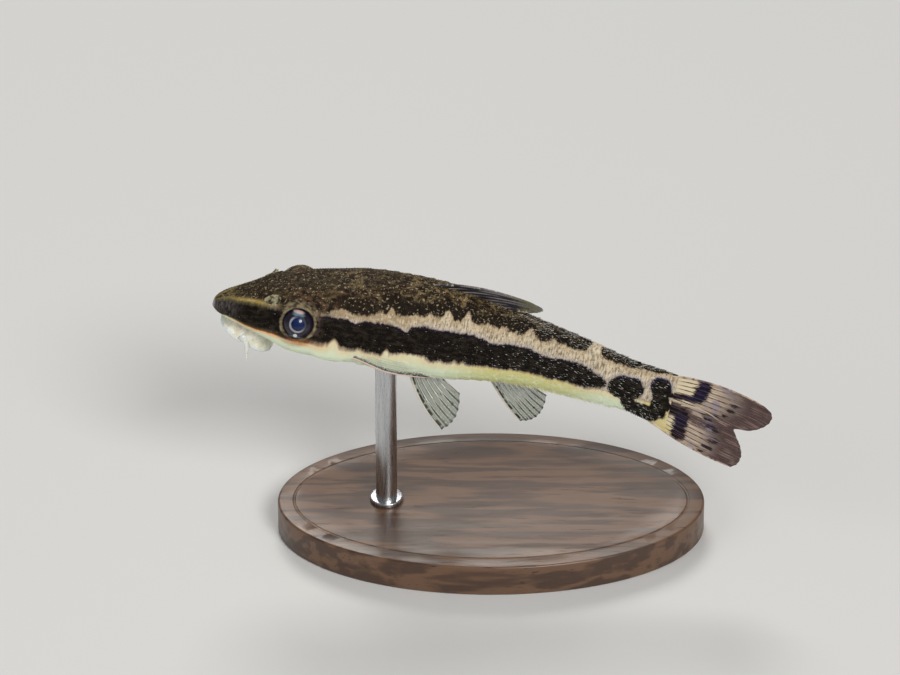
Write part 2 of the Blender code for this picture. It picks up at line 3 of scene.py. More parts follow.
import bmesh
import bpy
import numpy as np
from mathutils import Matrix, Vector


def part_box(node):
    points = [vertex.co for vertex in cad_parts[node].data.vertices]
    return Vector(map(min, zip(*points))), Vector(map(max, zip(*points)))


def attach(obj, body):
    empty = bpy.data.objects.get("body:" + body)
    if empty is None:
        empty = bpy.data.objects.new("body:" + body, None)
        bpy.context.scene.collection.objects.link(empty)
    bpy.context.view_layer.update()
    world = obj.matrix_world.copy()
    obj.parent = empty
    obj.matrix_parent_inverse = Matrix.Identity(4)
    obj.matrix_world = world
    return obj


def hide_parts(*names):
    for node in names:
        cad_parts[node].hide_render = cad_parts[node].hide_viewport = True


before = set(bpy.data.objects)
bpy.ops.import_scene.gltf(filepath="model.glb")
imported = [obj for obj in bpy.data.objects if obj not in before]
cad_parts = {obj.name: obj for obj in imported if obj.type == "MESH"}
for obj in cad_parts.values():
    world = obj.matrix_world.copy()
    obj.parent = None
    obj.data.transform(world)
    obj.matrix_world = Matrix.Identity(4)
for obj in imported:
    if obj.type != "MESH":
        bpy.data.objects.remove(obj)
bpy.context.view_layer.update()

# An otocinclus 42 mm long on a small display stand. Lengths are in millimetres in the fish's own frame:
# x runs back from the tip of the snout, y to its right and z to its back. toWorld turns them into metres.
mm = 0.001
print("frame loaded,", len(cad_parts), "nodes")

fishPose = {
    "pitch": math.radians(12.0),
    "snoutPlace": (-20.55, 0.0, 20.0),
    "swing": math.radians(20.0),
    "swingStart": 15.0,
    "swingEnd": 35.0,
}

# Station, half width, back, belly, widest line as a share of the depth, squareness above and below it.
bodyShape = {
    "snout tip": (0.0, 0.00, 0.12, -0.12, 0.50, 2.0, 2.0),
    "upper lip": (1.2, 1.85, 0.90, -0.25, 0.42, 2.1, 2.6),
    "mouth": (2.5, 2.35, 1.74, -0.60, 0.40, 2.1, 2.8),
    "nostril": (4.2, 2.75, 2.88, -1.15, 0.38, 2.2, 3.0),
    "eye": (6.4, 3.05, 3.60, -1.78, 0.36, 2.5, 3.2),
    "gill cover": (9.0, 3.40, 4.20, -1.68, 0.34, 2.4, 3.2),
    "pectoral fin": (11.5, 3.60, 4.75, -1.62, 0.34, 2.2, 3.2),
    "belly": (14.5, 3.50, 5.00, -2.00, 0.36, 2.0, 3.0),
    "dorsal fin": (17.5, 3.15, 4.90, -2.00, 0.39, 2.0, 2.8),
    "back of dorsal fin": (20.5, 2.65, 4.45, -1.70, 0.42, 2.0, 2.6),
    "anal fin": (24.0, 2.00, 3.75, -1.40, 0.45, 2.1, 2.5),
    "peduncle": (28.0, 1.40, 3.25, -1.40, 0.48, 2.2, 2.4),
    "thin of peduncle": (31.5, 0.95, 2.90, -1.30, 0.50, 2.2, 2.3),
    "tail base": (34.2, 0.50, 3.05, -1.70, 0.50, 2.0, 2.0),
}


def curveThrough(places, heights):
    # a smooth curve that rises and falls only where the points do
    places, heights = np.asarray(places, float), np.asarray(heights, float)
    steps = np.diff(places)
    slopes = np.diff(heights) / steps
    tangents = np.zeros(len(places))
    tangents[0], tangents[-1] = slopes[0], slopes[-1]
    for i in range(1, len(places) - 1):
        if slopes[i - 1] * slopes[i] > 0:
            before = 2 * steps[i] + steps[i - 1]
            after = steps[i] + 2 * steps[i - 1]
            tangents[i] = (before + after) / (before / slopes[i - 1] + after / slopes[i])

    def heightAt(place):
        place = np.clip(place, places[0], places[-1])
        i = np.clip(np.searchsorted(places, place, side="right") - 1, 0, len(places) - 2)
        t = (place - places[i]) / steps[i]
        rise = tangents[i] * t * (1 - t) ** 2 + tangents[i + 1] * t * t * (t - 1)
        level = heights[i] * (1 + 2 * t) * (1 - t) ** 2 + heights[i + 1] * t * t * (3 - 2 * t)
        return level + steps[i] * rise

    return heightAt


roundedStations = [math.sqrt(row[0]) for row in bodyShape.values()]
halfWidthAt, backAt, bellyAt, widestAt, squareAboveAt, squareBelowAt = (
    curveThrough(roundedStations, [row[column] for row in bodyShape.values()]) for column in range(1, 7)
)


def bodyPoint(station, angle, grow=0.0):
    # a point of the body's surface, angle in radians up from the left flank, moved out by grow
    place = np.sqrt(np.maximum(station, 0.0))
    back, belly = backAt(place), bellyAt(place)
    widest = belly + widestAt(place) * (back - belly)
    up, out = np.sin(angle), np.cos(angle)
    squareness = np.where(up >= 0, squareAboveAt(place), squareBelowAt(place))
    reach = np.where(up >= 0, back - widest, widest - belly) + grow
    y = -(halfWidthAt(place) + grow) * np.sign(out) * np.abs(out) ** (2 / squareness)
    z = widest + reach * np.sign(up) * np.abs(up) ** (2 / squareness)
    return np.stack([station + 0 * y, y, z], axis=-1)


def toWorld(points):
    # swings the tail, pitches the fish, sets it on its place and turns millimetres into metres
    x, y, z = np.moveaxis(np.asarray(points, float), -1, 0)
    start, end, swing = fishPose["swingStart"], fishPose["swingEnd"], fishPose["swing"]
    curvature = swing / (end - start)
    turn = curvature * np.clip(x - start, 0.0, end - start)
    beyond = np.maximum(x - end, 0.0)
    axisX = np.minimum(x, start) + np.sin(turn) / curvature + beyond * math.cos(swing)
    axisY = -(1 - np.cos(turn)) / curvature - beyond * math.sin(swing)
    x, y = axisX + y * np.sin(turn), axisY + y * np.cos(turn)
    cosine, sine = math.cos(fishPose["pitch"]), math.sin(fishPose["pitch"])
    turned = np.stack([x * cosine + z * sine, y, z * cosine - x * sine], axis=-1)
    return (turned + np.array(fishPose["snoutPlace"])) * mm


def smoothStep(value, low, high):
    t = np.clip((value - low) / (high - low), 0.0, 1.0)
    return t * t * (3 - 2 * t)


def mirrored(points, side):
    # the left side is -1
    return np.asarray(points, float) * [1, -side, 1]


def plateau(value, start, full, fall, end):
    # 1 from full to fall, and smoothly down to 0 at start and end
    return smoothStep(value, start, full) * (1 - smoothStep(value, fall, end))


def bell(value, width):
    return np.exp(-((value / width) ** 2))


def unit(vectors):
    vectors = np.asarray(vectors, float)
    return vectors / np.linalg.norm(vectors, axis=-1, keepdims=True)


def newPiece(name, points, faces, attributes, smooth=True):
    # points are in the fish's frame, and their own place there is kept for the patterns as fishPlace
    mesh = bpy.data.meshes.new(name)
    mesh.from_pydata(toWorld(points).tolist(), [], faces)
    layer = mesh.attributes.new("fishPlace", "FLOAT_VECTOR", "POINT")
    layer.data.foreach_set("vector", np.asarray(points, np.float32).ravel())
    for key, values in attributes.items():
        layer = mesh.attributes.new(key, "FLOAT", "POINT")
        layer.data.foreach_set("value", np.asarray(values, np.float32).ravel())
    work = bmesh.new()
    work.from_mesh(mesh)
    bmesh.ops.recalc_face_normals(work, faces=work.faces)
    work.to_mesh(mesh)
    work.free()
    if smooth:
        mesh.shade_smooth()
    piece = bpy.data.objects.new(name, mesh)
    bpy.context.scene.collection.objects.link(piece)
    return piece


def finishPiece(piece, material, slotName, *nodes):
    piece.data.materials.clear()
    piece.data.materials.append(material)
    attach(piece, "root")
    if nodes:
        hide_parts(*nodes)


# The eye and its orbit: where it lies, which way it looks, the ball, and the rim with its brow.
eyeLook = {
    "station": 6.18,
    "angle": math.radians(17.0),
    "lookUp": math.radians(24.0),
    "lookForward": math.radians(6.0),
    "ballRadius": 1.27,
    "ballDepth": 0.51,
    "ballGrid": (44, 64),
    "corneaRise": 0.05,
    "corneaWidth": 0.7,
    "pupilRadius": 0.49,
    "ringRadius": 0.64,
    "opening": 1.17,
    "crestRadius": 1.24,
    "crestRise": 0.20,
    "browRise": 0.36,
    "footRadius": 1.9,
    # the floor under the ball, and how deep the shaping of the skin reaches
    "floor": -0.8,
    "shapedDepth": 1.6,
    # radii where the orbit's own colour comes in and goes out, round the eye and on its brow
    "ringColour": (0.95, 1.03, 1.26, 1.46),
    "browColour": (1.2, 1.3, 1.45, 1.95),
    "browStrength": 0.55,
}


def eyeFrame(side):
    # the middle of the orbit on the surface, the way the eye looks, and up and across square to it
    lookUp, lookForward = eyeLook["lookUp"], eyeLook["lookForward"]
    level = math.cos(lookUp)
    axis = np.array([-level * math.sin(lookForward), side * level * math.cos(lookForward), math.sin(lookUp)])
    middle = mirrored(bodyPoint(eyeLook["station"], eyeLook["angle"]), side)
    up = unit(np.array([0.0, 0.0, 1.0]) - axis[2] * axis)
    return middle, axis, up, np.cross(up, axis)


# The skin: how finely it is divided, its bony plates, and the groove of the gill opening.
skinLook = {
    "anglesFine": (-6.0, 42.0, 1.12),
    "angleStep": 2.05,
    # rings on the head: the end of the rounded tip and its count, then start, end and step of each stretch
    "tipRings": (0.5, 14),
    "headRings": ((0.56, 4.4, 0.06), (4.42, 7.7, 0.045), (7.74, 10.6, 0.07)),
    "headEnd": 10.75,
    "slant": 0.6,
    "slantReach": 5.0,
    "plateLength": 1.0,
    "plateSteps": (0.02, 0.08, 0.2, 0.34, 0.48, 0.62, 0.76, 0.87, 0.95, 1.0),
    "plateRise": 0.06,
    "plateMiddle": 0.6,
    "plateStart": 0.9,
    "rowEdges": (90.0, 56.0, 27.0, 2.0, -25.0, -52.0, -90.0),
    "rowPoint": 0.26,
    "seamDepth": 0.035,
    "seamWidth": 2.4,
    "tailEnd": 34.3,
    "tailPinch": 0.7,
    "pinchStations": (33.4, 34.8),
    "gillDepth": 0.09,
    "gillWidth": 0.14,
    "gillBehind": 0.1,
    "gillAngles": (-80, 34),
    # the pale edge of the snout: stations at its tip, then the lip's angle, width and stations
    "tipRim": (0.03, 0.16),
    "lipAngle": -26,
    "lipWidth": 9,
    "lipRim": (0.9, 1.6),
}
gillCover = {
    "station": 8.9,
    "angle": -8.0,
    "reach": 1.5,
    "spread": 34.0,
    "rise": 0.16,
    "steepness": 2.2,
    "edge": 1.15,
}
nostril = {
    "station": 4.12,
    "angle": math.radians(50.0),
    # how far back each pit lies, and its size
    "pits": ((-0.288, 0.9), (0.288, 1.1)),
    "pitRadius": 0.2,
    "pitDepth": 0.3,
    "rimRadius": 0.3,
    "rimRise": 0.1,
    "rimWidth": 0.09,
    "patchLength": 0.74,
    "patchWidth": 0.50,
    "patchFade": (0.5, 1.2),
    "flapPlace": (0.05, -0.12),
    "flapHeight": 0.43,
    "flapWidth": 0.30,
    "flapThickness": 0.20,
    "flapGrid": (9, 16),
}


def skinAngles():
    # angles round the section, finer along the flank, down the left side and up the right
    low, high, fine = skinLook["anglesFine"]
    left = [90.0]
    while left[-1] > -90.0:
        step = fine if low < left[-1] < high else skinLook["angleStep"]
        left.append(left[-1] - step)
    left = np.array(left)
    left = 90.0 - (90.0 - left) * 180.0 / (90.0 - left[-1])
    return np.radians(np.concatenate([left, 180.0 - left[-2:0:-1]]))


def rowShare(degrees):
    # how far up its row of plates each angle lies, and how many degrees it is from the nearest seam
    edges = np.array(skinLook["rowEdges"][::-1])
    i = np.clip(np.searchsorted(edges, degrees, side="right") - 1, 0, len(edges) - 2)
    above, below = degrees - edges[i], edges[i + 1] - degrees
    return above / (edges[i + 1] - edges[i]), np.minimum(above, below)


def skinStations():
    # (station, how far along its plate, or -1 on the head)
    tipEnd, tipCount = skinLook["tipRings"]
    tip = tipEnd * (np.arange(1, tipCount + 1) / tipCount) ** 2
    head = np.concatenate([tip] + [np.arange(*stretch) for stretch in skinLook["headRings"]])
    rings = [(station, -1.0) for station in head]
    plateStart = skinLook["headEnd"]
    while plateStart < skinLook["tailEnd"] - 0.2:
        rings += [(plateStart + step * skinLook["plateLength"], step) for step in skinLook["plateSteps"]]
        plateStart += skinLook["plateLength"]
    return rings


def gillRise(place, degrees):
    # how far the gill cover stands out, as a low oval step
    along = (place - gillCover["station"]) / gillCover["reach"]
    around = (degrees - gillCover["angle"]) / gillCover["spread"]
    inside = gillCover["edge"] - np.hypot(along, around)
    return gillCover["rise"] * smoothStep(inside, 0.0, 1 / gillCover["steepness"])


def shapeOrbit(points, side):
    # raises the rim of the orbit, sinks the skin under the ball, and hands on where the orbit has its colour
    look = eyeLook
    middle, axis, up = eyeFrame(side)[:3]
    away = points - middle
    height = away @ axis
    radial = away - height[..., None] * axis
    radius = np.linalg.norm(radial, axis=-1)
    upward = (radial @ up) / np.maximum(radius, 1e-6)
    crest = look["crestRise"] + look["browRise"] * np.clip(upward, 0, 1) ** 1.5
    outside = 1 - smoothStep(radius, look["crestRadius"] + 0.04, look["footRadius"])
    inside = smoothStep(radius, look["opening"] - 0.24, look["crestRadius"] - 0.02)
    flat = np.where(radius < look["crestRadius"] + 0.04, 1.0, outside)
    target = height * (1 - flat) + crest * outside ** 1.6
    bowl = look["floor"] + (crest - look["floor"]) * inside
    target = np.where(radius < look["crestRadius"], bowl, target)
    outer = height > -look["shapedDepth"]
    near = outer & (radius < look["footRadius"])
    points[near] += ((target - height)[..., None] * axis)[near]
    ring = plateau(radius, *look["ringColour"]) * (0.35 + 0.65 * smoothStep(upward, -0.95, -0.45))
    brow = look["browStrength"] * plateau(radius, *look["browColour"]) * smoothStep(upward, 0.1, 0.7)
    return np.maximum(ring, brow) * outer


def shapeNostril(points, side):
    # two small pits with a raised edge; hands on where the pale patch round them is
    look = nostril
    middle = mirrored(bodyPoint(look["station"], look["angle"]), side)
    normal = unit([-0.35, side * math.cos(look["angle"]), math.sin(look["angle"])])
    along = unit(np.array([1.0, 0, 0]) - normal[0] * normal)
    rise = np.zeros(points.shape[:-1])
    for place, size in look["pits"]:
        distance = np.linalg.norm(points - (middle + place * along), axis=-1) / size
        rise -= look["pitDepth"] * np.exp(-((distance / look["pitRadius"]) ** 4))
        rise += look["rimRise"] * bell(distance - look["rimRadius"], look["rimWidth"])
    points += rise[..., None] * normal
    away = points - middle
    lengthwise = away @ along / look["patchLength"]
    off = np.sqrt(np.maximum((away**2).sum(axis=-1) - (away @ along) ** 2, 0)) / look["patchWidth"]
    return 1 - smoothStep(np.hypot(lengthwise, off), *look["patchFade"])


# The markings, as edges on the left flank: station, degrees up from the flank.
markings = {
    "paleTop": (
        (0.0, 99), (0.9, 97), (1.1, 92), (1.4, 83), (1.74, 76), (2.08, 71), (2.45, 65), (2.8, 60),
        (3.13, 56), (3.46, 51), (4.2, 44), (5.2, 41), (6.2, 38), (7.2, 33), (8.1, 34), (8.7, 41.5),
        (9.3, 41.5), (9.9, 36.3), (10.8, 36.5), (11.4, 38), (13.3, 40.5), (15.0, 43.2), (17.5, 44.5),
        (19.3, 45.5), (22.2, 48.5), (24.4, 49), (25.3, 55), (27.6, 56), (29.1, 57), (31.0, 60), (33.0, 64),
        (34.0, 71),
    ),
    "darkTop": (
        (0.0, 84), (0.9, 80), (1.1, 77), (1.4, 70), (1.74, 63), (2.08, 58), (2.45, 53), (2.8, 48.5),
        (3.13, 45), (3.46, 41), (4.2, 35.5), (5.2, 34), (6.2, 33), (7.14, 30), (8.2, 32), (8.8, 30),
        (9.5, 30), (10.15, 26.5), (10.8, 29.8), (12.4, 30.6), (13.3, 30), (14.05, 26), (14.4, 31.5),
        (15.3, 33.8), (16.5, 32), (18.9, 32.2), (20.1, 29), (20.8, 25.3), (21.9, 30), (23.5, 31),
        (24.2, 28.3), (25.1, 25.7), (27.0, 28), (28.2, 25.5), (28.8, 19.5), (29.3, 16.5), (29.75, 8),
        (30.1, -8),
    ),
    "darkLow": (
        (0.0, -20), (0.6, -10), (1.0, 0), (1.5, -2), (2.0, -4.5), (2.5, -7), (3.1, -7.5), (4.0, -4.3),
        (5.0, -1.6), (6.5, 0.8), (8.2, 0.8), (9.7, 0.8), (10.3, -0.3), (12.5, -0.8), (13.4, 2), (14.6, 4),
        (15.6, 2.8), (16.5, -1.8), (18.4, -2.2), (20.0, -4.2), (22.0, -6.3), (23.2, -5.8), (24.8, -7),
        (25.7, -10), (26.6, -9.8), (27.5, -11.8), (28.2, -12.4), (28.7, -10.5), (29.4, -6), (29.9, 1),
        (30.2, 12),
    ),
    "bellyLine": (29.3, -6.0),
    # the right side's bands lie lower on the snout: degrees, and the stations where that fades
    "rightDrop": (34.0, 1.0, 3.8),
    # where pale points reach up into the dark stripe: station, degrees, half width
    "notches": (
        (8.45, 1.5, 0.3), (9.0, 6.0, 0.55), (11.0, 1.2, 0.3), (12.9, 4.8, 0.32), (17.1, 2.2, 0.25),
        (18.25, 2.4, 0.3), (18.9, 2.4, 0.25), (20.75, 2.4, 0.25), (22.6, 2.0, 0.3), (26.1, 3.0, 0.28),
        (27.0, 3.5, 0.28),
    ),
    # where pale tongues reach up into the back
    "tongues": (
        (11.95, 6.0, 0.4), (12.7, 9.0, 0.45), (14.55, 2.0, 0.3), (15.65, 4.5, 0.4), (16.95, 11.0, 0.55),
        (18.5, 14.5, 0.5), (20.2, 4.0, 0.4), (21.45, 4.0, 0.4), (23.4, 18.5, 0.6), (25.2, 9.0, 0.3),
        (28.35, 62.0, 0.75), (32.2, 4.0, 0.4),
    ),
    # how strong the pale band is along the fish, and how golden
    "bandStrength": (
        (0.0, 0.9), (0.6, 1.0), (3.3, 0.95), (4.3, 0.55), (5.0, 0.05), (6.6, 0.05), (7.2, 0.45),
        (8.2, 0.6), (9.2, 1.0), (34.0, 1.0),
    ),
    "gold": ((0.0, 1.0), (3.2, 1.0), (4.6, 0.5), (6.5, 0.2), (8.6, 0.0), (34.0, 0.0)),
}

# Marks of the tail in station and height: capsules from one point to another with a radius.
tailMarks = {
    "dark": (
        ((30.95, 1.0), (31.75, 1.1), 0.95),
        ((31.6, 0.2), (32.2, -0.9), 0.55),
        ((32.2, -0.4), (33.4, -0.4), 0.5),
        ((32.4, -1.3), (33.8, -0.9), 0.45),
        ((33.72, 1.85), (33.95, 1.75), 0.72),
        ((34.0, 1.2), (33.95, 0.0), 0.60),
        ((33.8, -0.3), (33.3, -0.75), 0.62),
        ((34.2, 1.2), (36.3, 1.5), 0.22),
        ((33.9, 0.3), (35.2, 0.1), 0.42),
        ((34.3, 0.7), (34.35, -0.6), 0.35),
        ((36.7, 1.9), (36.93, 3.1), 0.50),
        ((35.8, 0.0), (35.92, -1.75), 0.53),
        ((39.3, 2.2), (39.6, 2.35), 0.16),
        ((39.05, 1.66), (39.35, 1.76), 0.14),
        ((38.8, 1.18), (39.05, 1.26), 0.13),
        ((38.2, 0.9), (38.45, 0.93), 0.10),
        ((37.3, 0.72), (37.95, 0.84), 0.11),
        ((37.6, 0.3), (37.85, 0.34), 0.13),
        ((38.0, -0.04), (38.25, 0.0), 0.12),
        ((38.45, -0.42), (38.7, -0.38), 0.14),
        ((38.3, -1.36), (38.8, -1.2), 0.18),
        ((38.1, -1.98), (38.5, -1.95), 0.15),
        ((37.65, -2.42), (37.95, -2.38), 0.13),
    ),
    # a darker middle where the lobes overlap, and the pale edge of the lower lobe
    "middle": (((34.0, 0.1), (35.9, 0.2), 0.66), ((36.0, 0.1), (37.6, -0.2), 0.35)),
    "line": (
        ((35.6, 0.72), (36.84, 1.05), 0.05),
        ((36.84, 1.05), (38.0, 0.83), 0.05),
        ((38.0, 0.83), (39.5, 0.28), 0.045),
    ),
}


def alongCurve(points, station):
    stations, values = zip(*points)
    return curveThrough(stations, values)(station)


def bumps(points, station):
    # rounded peaks, each at a station with its height and half width
    total = np.zeros(np.shape(station))
    for place, height, halfWidth in points:
        near = np.clip(1 - np.abs(station - place) / halfWidth, 0, 1)
        total = np.maximum(total, height * np.sin(near * math.pi / 2) ** 2)
    return total


def capsuleDepth(capsules, station, height):
    # how far inside the nearest capsule a point lies
    depth = np.full(np.broadcast(station, height).shape, -9.0)
    for (s0, z0), (s1, z1), radius in capsules:
        length = math.hypot(s1 - s0, z1 - z0)
        share = np.clip(((station - s0) * (s1 - s0) + (height - z0) * (z1 - z0)) / length**2, 0, 1)
        away = np.hypot(station - s0 - share * (s1 - s0), height - z0 - share * (z1 - z0))
        depth = np.maximum(depth, radius - away)
    return depth


def bodyMarks(station, angle, height):
    # signed distances in millimetres to the edges of the markings, for the skin and what grows on it
    degrees = np.degrees(np.arcsin(np.sin(angle)))
    place = np.sqrt(np.maximum(station, 0.02))
    girth = 0.5 * (halfWidthAt(place) + 0.5 * (backAt(place) - bellyAt(place)))
    perDegree = np.maximum(girth, 0.25) * math.pi / 180
    drop, dropStart, dropEnd = markings["rightDrop"]
    drop = drop * (np.cos(angle) < 0) * (1 - smoothStep(station, dropStart, dropEnd))
    paleTop = alongCurve(markings["paleTop"], station) + bumps(markings["tongues"], station) - drop
    darkTop = alongCurve(markings["darkTop"], station) - drop
    darkLow = alongCurve(markings["darkLow"], station) + bumps(markings["notches"], station)
    stripe = np.minimum(darkTop - degrees, degrees - darkLow) * perDegree
    lineStart, lineAngle = markings["bellyLine"]
    bellyTop = np.where(station > lineStart, lineAngle, darkLow)
    return {
        "station": station,
        "aboveBand": (degrees - paleTop) * perDegree,
        "inStripe": np.maximum(stripe, capsuleDepth(tailMarks["dark"], station, height)),
        "aboveLow": (degrees - bellyTop) * perDegree,
        "bandStrength": alongCurve(markings["bandStrength"], station),
        "gold": alongCurve(markings["gold"], station),
        "upward": np.sin(angle),
    }


def makeSkin():
    # the surface as rings of points, and the fields that its colours are made from
    look = skinLook
    angles = skinAngles()
    degrees = np.degrees(np.arcsin(np.sin(angles)))
    share, toSeam = rowShare(degrees)
    point = 1 - (2 * share - 1) ** 2
    gillLow, gillHigh = look["gillAngles"]
    rings = []
    for station, plate in skinStations():
        fade = np.clip(1 - abs(station - look["headEnd"]) / look["slantReach"], 0, 1)
        place = station + look["slant"] * np.sin(angles) * fade
        rise = gillRise(place, degrees)
        if plate >= 0:
            first = smoothStep(station, look["headEnd"], look["headEnd"] + look["plateStart"])
            place = place + look["rowPoint"] * (point - look["plateMiddle"]) * first
            # each plate rises towards its rear edge and drops there
            rise += look["plateRise"] * ((plate**1.4 if plate < 1 else 0) - look["plateMiddle"])
            rise -= look["seamDepth"] * bell(toSeam, look["seamWidth"])
        gill = bell(place - look["headEnd"] - look["gillBehind"], look["gillWidth"])
        rise -= look["gillDepth"] * gill * (degrees < gillHigh) * (degrees > gillLow)
        ring = bodyPoint(place, angles, rise)
        ring[:, 1] *= 1 - look["tailPinch"] * smoothStep(place, *look["pinchStations"])
        rings.append(ring)
    points = np.array(rings)
    orbit = np.maximum(shapeOrbit(points, -1), shapeOrbit(points, 1))
    patch = np.maximum(shapeNostril(points, -1), shapeNostril(points, 1))
    station = points[..., 0]
    fields = bodyMarks(station, np.broadcast_to(angles, station.shape), points[..., 2])
    lip = bell(degrees - look["lipAngle"], look["lipWidth"]) * (1 - smoothStep(station, *look["lipRim"]))
    rim = np.maximum(1 - smoothStep(station, *look["tipRim"]), lip)
    fields.update(orbit=orbit, patch=patch, rim=rim)
    return points, fields


def gridFaces(rows, columns):
    # the faces of rings of points that run round and close
    faces = []
    for i in range(rows - 1):
        for j in range(columns):
            k = (j + 1) % columns
            faces.append((i * columns + j, i * columns + k, (i + 1) * columns + k, (i + 1) * columns + j))
    return faces


def addBakeMap(piece, coordinates):
    layer = piece.data.uv_layers.new(name="OFBake")
    corners = np.zeros(len(piece.data.loops), np.int32)
    piece.data.loops.foreach_get("vertex_index", corners)
    layer.data.foreach_set("uv", np.asarray(coordinates, np.float32)[corners].ravel())


def cappedFaces(rows, columns):
    # the same, closed at the two ends by two more points, which come after the rings
    last, ends = (rows - 1) * columns, rows * columns
    faces = gridFaces(rows, columns)
    faces += [(ends, (j + 1) % columns, j) for j in range(columns)]
    faces += [(ends + 1, last + j, last + (j + 1) % columns) for j in range(columns)]
    return faces


def nostrilFlap(side):
    # the small leaf of skin that stands between the two pits, leaning back
    look = nostril
    rows, around = look["flapGrid"]
    behind, sunk = look["flapPlace"]
    middle = mirrored(bodyPoint(look["station"] + behind, look["angle"], sunk), side)
    normal = unit([0.05, side * math.cos(look["angle"]), math.sin(look["angle"])])
    wide = unit(np.cross(normal, [1.0, 0.0, 0.0]))
    thick = np.cross(wide, normal)
    points = []
    for share in np.arange(rows) / (rows - 1):
        width = look["flapWidth"] * math.sqrt(max(1 - share**3, 0.0)) * (1 + 0.2 * share)
        for turn in 2 * math.pi * np.arange(around) / around:
            lobe = 1 + 0.18 * math.sin(3 * turn + 1.0) * share
            curl = 0.06 * share**2 + 0.12 * math.cos(turn) ** 2
            off = look["flapThickness"] * (1 - 0.5 * share) * math.sin(turn) + curl
            points.append(middle + look["flapHeight"] * share * lobe * normal + width * math.cos(turn) * wide
                          + off * thick)
    points.append(np.mean(points[-around:], axis=0))
    last = (rows - 1) * around
    faces = gridFaces(rows, around)
    faces += [(last + i, last + (i + 1) % around, last + around) for i in range(around)]
    return np.array(points), faces


def joined(parts):
    # several (points, faces, attributes) as one, with the same attributes in each
    points, faces, attributes, start = [], [], {}, 0
    for partPoints, partFaces, partAttributes in parts:
        points.append(np.asarray(partPoints).reshape(-1, 3))
        faces += [tuple(corner + start for corner in face) for face in partFaces]
        for key, values in partAttributes.items():
            attributes.setdefault(key, []).append(np.asarray(values, float).ravel())
        start += len(points[-1])
    return np.concatenate(points), faces, {key: np.concatenate(values) for key, values in attributes.items()}


class Wire:
    # what a node puts out: a sum, difference, product or power of it is a new node

    def __init__(self, recipe, socket):
        self.recipe, self.socket = recipe, socket

    def __add__(self, other):
        return self.recipe.calc("ADD", self, other)

    def __radd__(self, other):
        return self.recipe.calc("ADD", other, self)

    def __sub__(self, other):
        return self.recipe.calc("SUBTRACT", self, other)

    def __rsub__(self, other):
        return self.recipe.calc("SUBTRACT", other, self)

    def __mul__(self, other):
        return self.recipe.calc("MULTIPLY", self, other)

    def __rmul__(self, other):
        return self.recipe.calc("MULTIPLY", other, self)

    def __pow__(self, other):
        return self.recipe.calc("POWER", self, other)


class Recipe:
    # a material's nodes: each call adds a node and hands on its output. A word for a colour is looked up.

    def __init__(self, name, colours, **settings):
        self.colours = colours
        self.material = bpy.data.materials.new(name)
        self.material.use_nodes = True
        self.tree = self.material.node_tree
        for key, value in settings.items():
            self.give(key.replace("_", " "), value)

    def put(self, socket, value):
        if isinstance(value, Wire):
            self.tree.links.new(value.socket, socket)
        elif isinstance(value, str):
            socket.default_value = (*self.colours[value], 1)
        elif isinstance(value, tuple) and socket.type == "RGBA":
            socket.default_value = (*value, 1)
        else:
            socket.default_value = value

    def give(self, name, value):
        self.put(self.tree.nodes["Principled BSDF"].inputs[name], value)

    def node(self, kind, inputs, output=0, **settings):
        node = self.tree.nodes.new("ShaderNode" + kind)
        for key, value in settings.items():
            setattr(node, key, value)
        for key, value in inputs.items():
            self.put(node.inputs[key], value)
        return Wire(self, node.outputs[output])

    def attribute(self, name, output="Fac"):
        return self.node("Attribute", {}, output, attribute_name=name)

    def fishPlace(self):
        return self.attribute("fishPlace", "Vector")

    def ownPlace(self):
        return self.node("TexCoord", {}, "Object")

    def calc(self, operation, first, second=0.0):
        return self.node("Math", {0: first, 1: second}, operation=operation)

    def scaled(self, vector, scale, turn=(0.0, 0.0, 0.0)):
        return self.node("Mapping", {"Vector": vector, "Scale": scale, "Rotation": turn})

    def vector(self, x, y):
        return self.node("CombineXYZ", {"X": x, "Y": y})

    def noise(self, vector, scale, detail=3.0, rough=0.55):
        # about 0, seldom beyond a quarter either way
        inputs = {"Vector": vector, "Scale": scale, "Detail": detail, "Roughness": rough}
        return self.node("TexNoise", inputs, "Fac") - 0.5

    def bent(self, vector, scale, amount):
        # the same coordinates, shifted about by a noise
        noise = self.node("TexNoise", {"Vector": vector, "Scale": scale}, "Color")
        inputs = {0: noise, 1: (amount, amount, amount), 2: vector}
        return self.node("VectorMath", inputs, operation="MULTIPLY_ADD")

    def cellEdges(self, vector, scale):
        inputs = {"Vector": vector, "Scale": scale}
        return self.node("TexVoronoi", inputs, "Distance", feature="DISTANCE_TO_EDGE")

    def step(self, value, low, high):
        # 0 at low and 1 at high, whichever is larger, and smooth between them
        inputs = {"Value": value, "From Min": low, "From Max": high}
        return self.node("MapRange", inputs, interpolation_type="SMOOTHSTEP")

    def mix(self, factor, first, second):
        return self.node("Mix", {0: factor, 6: first, 7: second}, 2, data_type="RGBA")

    def between(self, factor, first, second):
        # the same for plain numbers
        return self.node("Mix", {0: factor, 2: first, 3: second})

    def bump(self, height, distance, strength):
        return self.node("Bump", {"Strength": strength, "Distance": distance, "Height": height})


